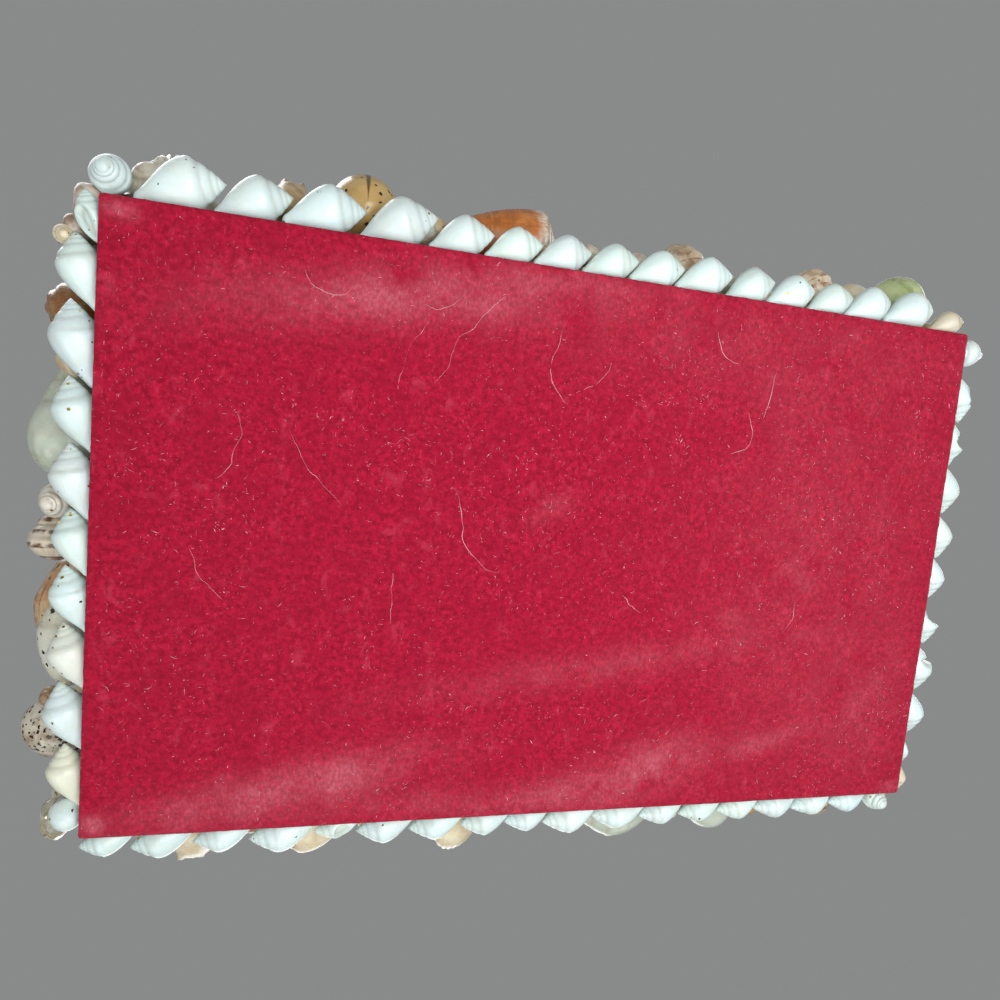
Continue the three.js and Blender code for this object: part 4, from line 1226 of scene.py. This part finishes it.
def felt_patch():
    """Grid z = pile height, corner squares pressed into quarter circles, then rings that turn the rim up."""
    half = (felt_high - felt_low)[:2] / 2 + FELT_OVERHANG
    nx, ny = (np.round(2 * half / FELT_STEP)).astype(int) + 1
    x, y = np.meshgrid(np.linspace(-half[0], half[0], nx), np.linspace(-half[1], half[1], ny), indexing="ij")
    dx = np.maximum(np.abs(x) - (half[0] - FELT_CORNER), 0)
    dy = np.maximum(np.abs(y) - (half[1] - FELT_CORNER), 0)
    scale = np.maximum(dx, dy) / np.maximum(np.hypot(dx, dy), 1e-9)
    x = np.where((dx > 0) & (dy > 0), np.sign(x) * (half[0] - FELT_CORNER + dx * scale), x)
    y = np.where((dx > 0) & (dy > 0), np.sign(y) * (half[1] - FELT_CORNER + dy * scale), y)
    worn = rubbed(x, y)
    pile = PILE * (0.8 * field(x, y, 0.9, 11) + 0.6 * field(x, y, 2.4, 12)) + 0.05 * field(x, y, 16, 13)
    edge = np.minimum(half[0] - np.abs(x), half[1] - np.abs(y))
    z = FACE_HEIGHT + pile * (1 - 0.6 * np.clip(worn, 0, 1)) + EDGE_LIFT * np.exp(-((edge / 0.4) ** 2))
    z = np.maximum(z, 0.0)
    grid = np.arange(nx * ny).reshape(nx, ny)
    loop = rim_of(grid)
    rim = np.stack([x, y], -1).reshape(-1, 2)[loop]
    inward = -rim / np.linalg.norm(rim, axis=1, keepdims=True)
    ragged = RAGGED * dice.normal(0, 1, len(loop))[:, None]
    glued = felt_high[2] - felt_low[2] - BOARD_GAP
    rings = [np.column_stack([rim - inward * (BULGE_OUT + 0.5 * ragged), np.full(len(loop), BULGE_HEIGHT)]),
             np.column_stack([rim + inward * GLUED_IN, np.full(len(loop), glued)])]
    points = np.concatenate([np.stack([x, y, z], -1).reshape(-1, 3), *rings, [[0, 0, glued]]])
    quads = [np.stack([grid[:-1, :-1], grid[:-1, 1:], grid[1:, 1:], grid[1:, :-1]], -1).reshape(-1, 4)]
    before, count = loop, nx * ny
    for _ in rings:
        after = count + np.arange(len(loop))
        quads.append(np.stack([before, np.roll(before, -1), np.roll(after, -1), after], -1))
        before, count = after, count + len(loop)
    fan = np.stack([before, np.roll(before, -1), np.full(len(loop), count)], -1)
    rub_all = np.concatenate([worn.ravel(), worn.ravel()[loop], worn.ravel()[loop], [0]])
    return {"points": points, "rub": rub_all, "faces": [(np.concatenate(quads), None), (fan, None)]}


felt = felt_patch()
print("the felt has", sum(len(f) for f, _ in felt["faces"]), "faces")

# %% [markdown]
# Felt is fibre, so it has no gloss: it is fully rough, with a soft sheen at grazing angles. Its colour is
# broken up at the size of the pile, and by the direction in which the pile was brushed.

# %% The felt material and the sheet
felt_material, tree, shader = new_material("Crimson felt")
place = object_point(tree)
brushed = noise(tree, scaled(tree, place, 1.0, 0.6, 1.0), 2100, 3.0, 0.6)
mottled = noise(tree, place, 900, 4.0, 0.75)
tufts = noise(tree, place, 3200, 2.0, 0.5)
soft = noise(tree, place, 150, 4.0, 0.62)
veils = noise(tree, scaled(tree, place, 1.0, 0.7, 1.0), 330, 4.0, 0.7, 0.5)
red = two_tone(tree, mottled, 0.34, 0.66, (134, 6, 35), (176, 18, 54))
red = veiled(tree, red, brushed, 0.56, 0.72, 0.4, (200, 62, 88))
red = veiled(tree, red, veils, 0.54, 0.74, 0.4, (198, 64, 90))
red = veiled(tree, red, soft, 0.4, 0.66, 0.5, (146, 8, 42))
streaky = plus(tree, times(tree, rise(tree, brushed, 0.4, 0.62), 0.5), 0.65)
worn = times(tree, attribute(tree, "rub", "Fac"), streaky)
red = blend(tree, calc(tree, "MINIMUM", times(tree, worn, 0.36), 0.85), red, colour(206, 118, 132))
finished(tree, shader, plus(tree, mottled, times(tree, tufts, 0.5)), 0.7, 0.2 * MM, Base_Color=red,
         Roughness=plus(tree, times(tree, tufts, 0.15), 0.82), Specular_IOR_Level=0.15,
         Sheen_Weight=0.25, Sheen_Roughness=0.5, Sheen_Tint=colour(255, 170, 180))
felt_piece = make_piece("felt_sheet", felt, felt_material, ["felt_underside"])

# %% [markdown]
# ## Lint and hairs
# Felt picks up whatever it lies on. Thousands of short flecks of pale lint and a few long hairs cling to
# it. Each is a thin three-sided thread along a bent path. A fleck has two stretches and a hair has
# twenty-six, so the flecks stay light. A heading that turns along the way makes the bend.

# %% Threads along bent paths
def threads(starts, headings, curls, lengths, thick, height, stretches, wander=0.0):
    """Threads whose heading turns by `curl` from end to end, and strays by chance: the path is the running
    sum of (cos, sin) of the heading."""
    way = np.linspace(0, 1, stretches + 1)
    count = len(starts)
    heading = headings[:, None] + curls[:, None] * way[None, :-1] ** 1.3
    heading = heading + wander * np.cumsum(dice.normal(0, 1, heading.shape), 1)
    run = np.stack([np.cos(heading), np.sin(heading)], -1) * (lengths / stretches)[:, None, None]
    path = np.concatenate([np.zeros((count, 1, 2)), np.cumsum(run, 1)], 1) + starts[:, None, :]
    full = np.concatenate([heading, heading[:, -1:]], 1)
    side = np.stack([-np.sin(full), np.cos(full)], -1)
    taper = thick[:, None] * np.minimum(1, 0.35 + 3 * np.minimum(way, 1 - way))[None, :]
    rings = []
    for corner in range(3):
        turn = math.tau / 3 * corner
        flat = path + side * (taper * math.cos(turn))[..., None]
        rings.append(np.concatenate([flat, (height[:, None] - taper * math.sin(turn))[..., None]], -1))
    points = np.stack(rings, 2)  # thread, step, corner, xyz
    number = np.arange(points.size // 3).reshape(points.shape[:3])
    a, b = number[:, :-1], number[:, 1:]
    quads = np.stack([a, b, np.roll(b, -1, 2), np.roll(a, -1, 2)], -1).reshape(-1, 4)
    ends = np.concatenate([number[:, 0, :], number[:, -1, ::-1]])
    return {"points": points.reshape(-1, 3), "faces": [(quads, None), (ends, None)]}


# %% Flecks of lint over the felt
LINT_COUNT, EDGE_COUNT, CLUMPS, CLUMP_SIZE = 7200, 800, 60, 4.5
FLECK_STRETCHES, HAIR_STRETCHES, HAIR_WANDER = 2, 26, 0.16
reach = np.array([HALF_LENGTH - 1, HALF_WIDTH - 1])
spots = dice.uniform(-1, 1, (LINT_COUNT, 2)) * reach
clumps = dice.uniform(-1, 1, (CLUMPS, 2)) * reach
near = dice.integers(0, len(clumps), LINT_COUNT)
clumped = dice.random(LINT_COUNT) < 0.3
spots[clumped] = (clumps[near] + dice.normal(0, CLUMP_SIZE, (LINT_COUNT, 2)))[clumped]
spots = np.clip(spots, -reach, reach)
headings, curls = dice.uniform(0, math.tau, LINT_COUNT), dice.normal(0, 1.2, LINT_COUNT)
lengths = dice.gamma(1.4, 0.2, LINT_COUNT) + 0.12
thicks, heights = dice.gamma(2.2, 0.016, LINT_COUNT) + 0.014, dice.uniform(0.06, 0.16, LINT_COUNT)
lint = threads(spots, headings, curls, lengths, thicks, heights, FLECK_STRETCHES)
print("a fleck of lint is", round(lengths.mean(), 2), "mm long on average")

# %% Loose fibres round the edge
along_edge = dice.uniform(0, 4 * (HALF_LENGTH + HALF_WIDTH), EDGE_COUNT)
bounds_walked = np.cumsum([2 * HALF_LENGTH, 2 * HALF_WIDTH] * 2)
which = np.searchsorted(bounds_walked, along_edge)
walked = along_edge - np.concatenate([[0], bounds_walked])[which]
corners = np.array([[-HALF_LENGTH, -HALF_WIDTH], [HALF_LENGTH, -HALF_WIDTH], [HALF_LENGTH, HALF_WIDTH],
                    [-HALF_LENGTH, HALF_WIDTH]])
ways = np.array([[1, 0], [0, 1], [-1, 0], [0, -1]])
fringe_starts = corners[which] + ways[which] * walked[:, None]
fringe_starts -= 0.25 * np.sign(fringe_starts) * (np.abs(fringe_starts) > reach + 0.9)
outward = np.arctan2(-ways[which][:, 0], ways[which][:, 1]) + dice.normal(0, 0.7, EDGE_COUNT)
curls, lengths = dice.normal(0, 1, EDGE_COUNT), dice.uniform(0.25, 0.75, EDGE_COUNT)
thicks, heights = dice.uniform(0.015, 0.035, EDGE_COUNT), dice.uniform(0.15, 0.5, EDGE_COUNT)
fringe = threads(fringe_starts, outward, curls, lengths, thicks, heights, FLECK_STRETCHES)
print("the loose fibres round the edge reach out up to", round(lengths.max(), 2), "mm")

# %% Hairs, and the lint made a piece
# start (x, y), heading in degrees, turn in degrees, length
HAIRS = [
    (-17.5, -44.5, 128, 25, 21), (-25, -44, 100, 60, 9), (-31, -38, 120, -40, 13), (-7, -41, 130, -110, 16),
    (2, -35, 110, 30, 9), (22.5, -43, 86, 14, 8), (31, -29, 84, 100, 11), (-24.5, -10.5, 50, -55, 19),
    (-60, -20, 62, 40, 12), (-52, -18, 70, 30, 15), (9, 7, 60, 20, 6), (-34, 4, 55, -30, 10),
    (47, 8, 100, 60, 8), (-44, -41, 150, 50, 9), (36, -37, 120, 70, 9), (-66, 2, 75, 30, 10),
]
rows = np.array(HAIRS, float)
hairs = threads(rows[:, :2], np.radians(rows[:, 2]), np.radians(rows[:, 3]), rows[:, 4],
                dice.uniform(0.04, 0.085, len(rows)), dice.uniform(0.03, 0.06, len(rows)),
                HAIR_STRETCHES, HAIR_WANDER)
lint_material, tree, shader = new_material("Pale lint")
place = object_point(tree)
finished(tree, shader, Roughness=plus(tree, noise(tree, place, 900), 0.35),
         Base_Color=two_tone(tree, noise(tree, place, 260, 2.0), 0.4, 0.6, (226, 170, 180), (200, 104, 124)))
lint_piece = make_piece("felt_lint", joined([lint, fringe, hairs]), lint_material)
print("laid", LINT_COUNT + EDGE_COUNT, "flecks and", len(HAIRS), "hairs on the felt")

# %% [markdown]
# ## Floor, light and camera
# The box stands on a plain pale floor, but the camera looks up at its underside. So the floor shows only
# from above: from below it lets the camera, the light and the shadows through.

# %% The floor
floor_mesh = bpy.data.meshes.new("floor")
FLOOR, FLOOR_Z = 6.0, -0.0004
floor_mesh.from_pydata([(-FLOOR, -FLOOR, FLOOR_Z), (FLOOR, -FLOOR, FLOOR_Z), (FLOOR, FLOOR, FLOOR_Z),
                        (-FLOOR, FLOOR, FLOOR_Z)], [], [(0, 1, 2, 3)])
floor = bpy.data.objects.new("floor", floor_mesh)
bpy.context.scene.collection.objects.link(floor)
floor_material, tree, shader = new_material("Pale floor")
finished(tree, shader, Base_Color=colour(214, 213, 210), Roughness=0.9)
clear = put(tree, "BsdfTransparent")
geometry = put(tree, "NewGeometry")
choice = put(tree, "MixShader", None, Fac=geometry.outputs["Backfacing"])
wire(tree, choice.inputs[1], shader.outputs[0])
wire(tree, choice.inputs[2], clear.outputs[0])
output = next(n for n in tree.nodes if n.type == "OUTPUT_MATERIAL")
wire(tree, output.inputs["Surface"], choice.outputs[0])
floor_mesh.materials.append(floor_material)
floor.visible_shadow = floor.visible_diffuse = floor.visible_glossy = floor.visible_transmission = False
print("the floor is", 2 * FLOOR, "metres across")

# %% The light
world = bpy.data.worlds.new("Studio")
bpy.context.scene.world = world
world.use_nodes = True
backdrop = next(n for n in world.node_tree.nodes if n.type == "BACKGROUND")
backdrop.inputs["Color"].default_value = colour(188, 190, 190)
backdrop.inputs["Strength"].default_value = 0.5


def soft_light(name, place, aim, size, power):
    """A square soft box that the camera doesn't see, turned to face `aim`."""
    data = bpy.data.lights.new(name, "AREA")
    data.size, data.energy = size, power
    lamp = bpy.data.objects.new(name, data)
    bpy.context.scene.collection.objects.link(lamp)
    lamp.location = place
    lamp.rotation_mode = "QUATERNION"
    toward = np.array(aim) - np.array(place)
    lamp.rotation_quaternion = Vector(toward).to_track_quat("-Z", "Y")
    lamp.visible_camera = False


# place, aim, size in metres, power in watts
LIGHTS = {
    "key above": ((-0.5, -0.6, 0.8), (0, 0, 0.02), 0.6, 4.2),
    "fill above": ((0.7, -0.1, 0.6), (0, 0, 0.02), 0.6, 2.2),
    "rim above": ((0.0, 0.8, 0.6), (0, 0, 0.02), 0.6, 2.4),
    "key below": ((0.03, -0.02, -0.23), (0.03, 0, 0), 0.22, 0.66),
    "fill below": ((-0.45, 0.5, -0.7), (0, 0, 0), 0.7, 3),
}
for name, row in LIGHTS.items():
    soft_light(name, *row)
print("hung", len(LIGHTS), "soft lights")

# %% [markdown]
# The camera stands below the box, close to it and to the left of its middle, which spreads the near
# left-hand end of the felt and narrows the far one. Its place, turn and lens belong together.

# %% The camera
CAMERA_MM = np.array([-49.84, -20.81, -126.62])
CAMERA_TURN = np.radians([6.92, -16.46, 4.50])  # axis times angle, from facing straight up
LENS, SHIFT = 27.0, (-0.0235, 0.0157)
turned_by = np.linalg.norm(CAMERA_TURN)
kx, ky, kz = CAMERA_TURN / turned_by
skew = np.array([[0, -kz, ky], [kz, 0, -kx], [-ky, kx, 0]])
turn = np.eye(3) + math.sin(turned_by) * skew + (1 - math.cos(turned_by)) * skew @ skew
camera_data = bpy.data.cameras.new("camera")
camera_data.lens = LENS
camera_data.shift_x, camera_data.shift_y = SHIFT
camera_data.clip_start = 0.005
camera = bpy.data.objects.new("camera", camera_data)
bpy.context.scene.collection.objects.link(camera)
world_turn = np.eye(4)
world_turn[:3, 0], world_turn[:3, 1], world_turn[:3, 2] = turn[0], -turn[1], -turn[2]
world_turn[:3, 3] = CAMERA_MM * MM
camera.matrix_world = Matrix(world_turn.tolist())
bpy.context.scene.camera = camera
bpy.context.scene.view_settings.view_transform = "Standard"
print("the camera stands", round(-CAMERA_MM[2]), "mm below the box, with a", LENS, "mm lens")
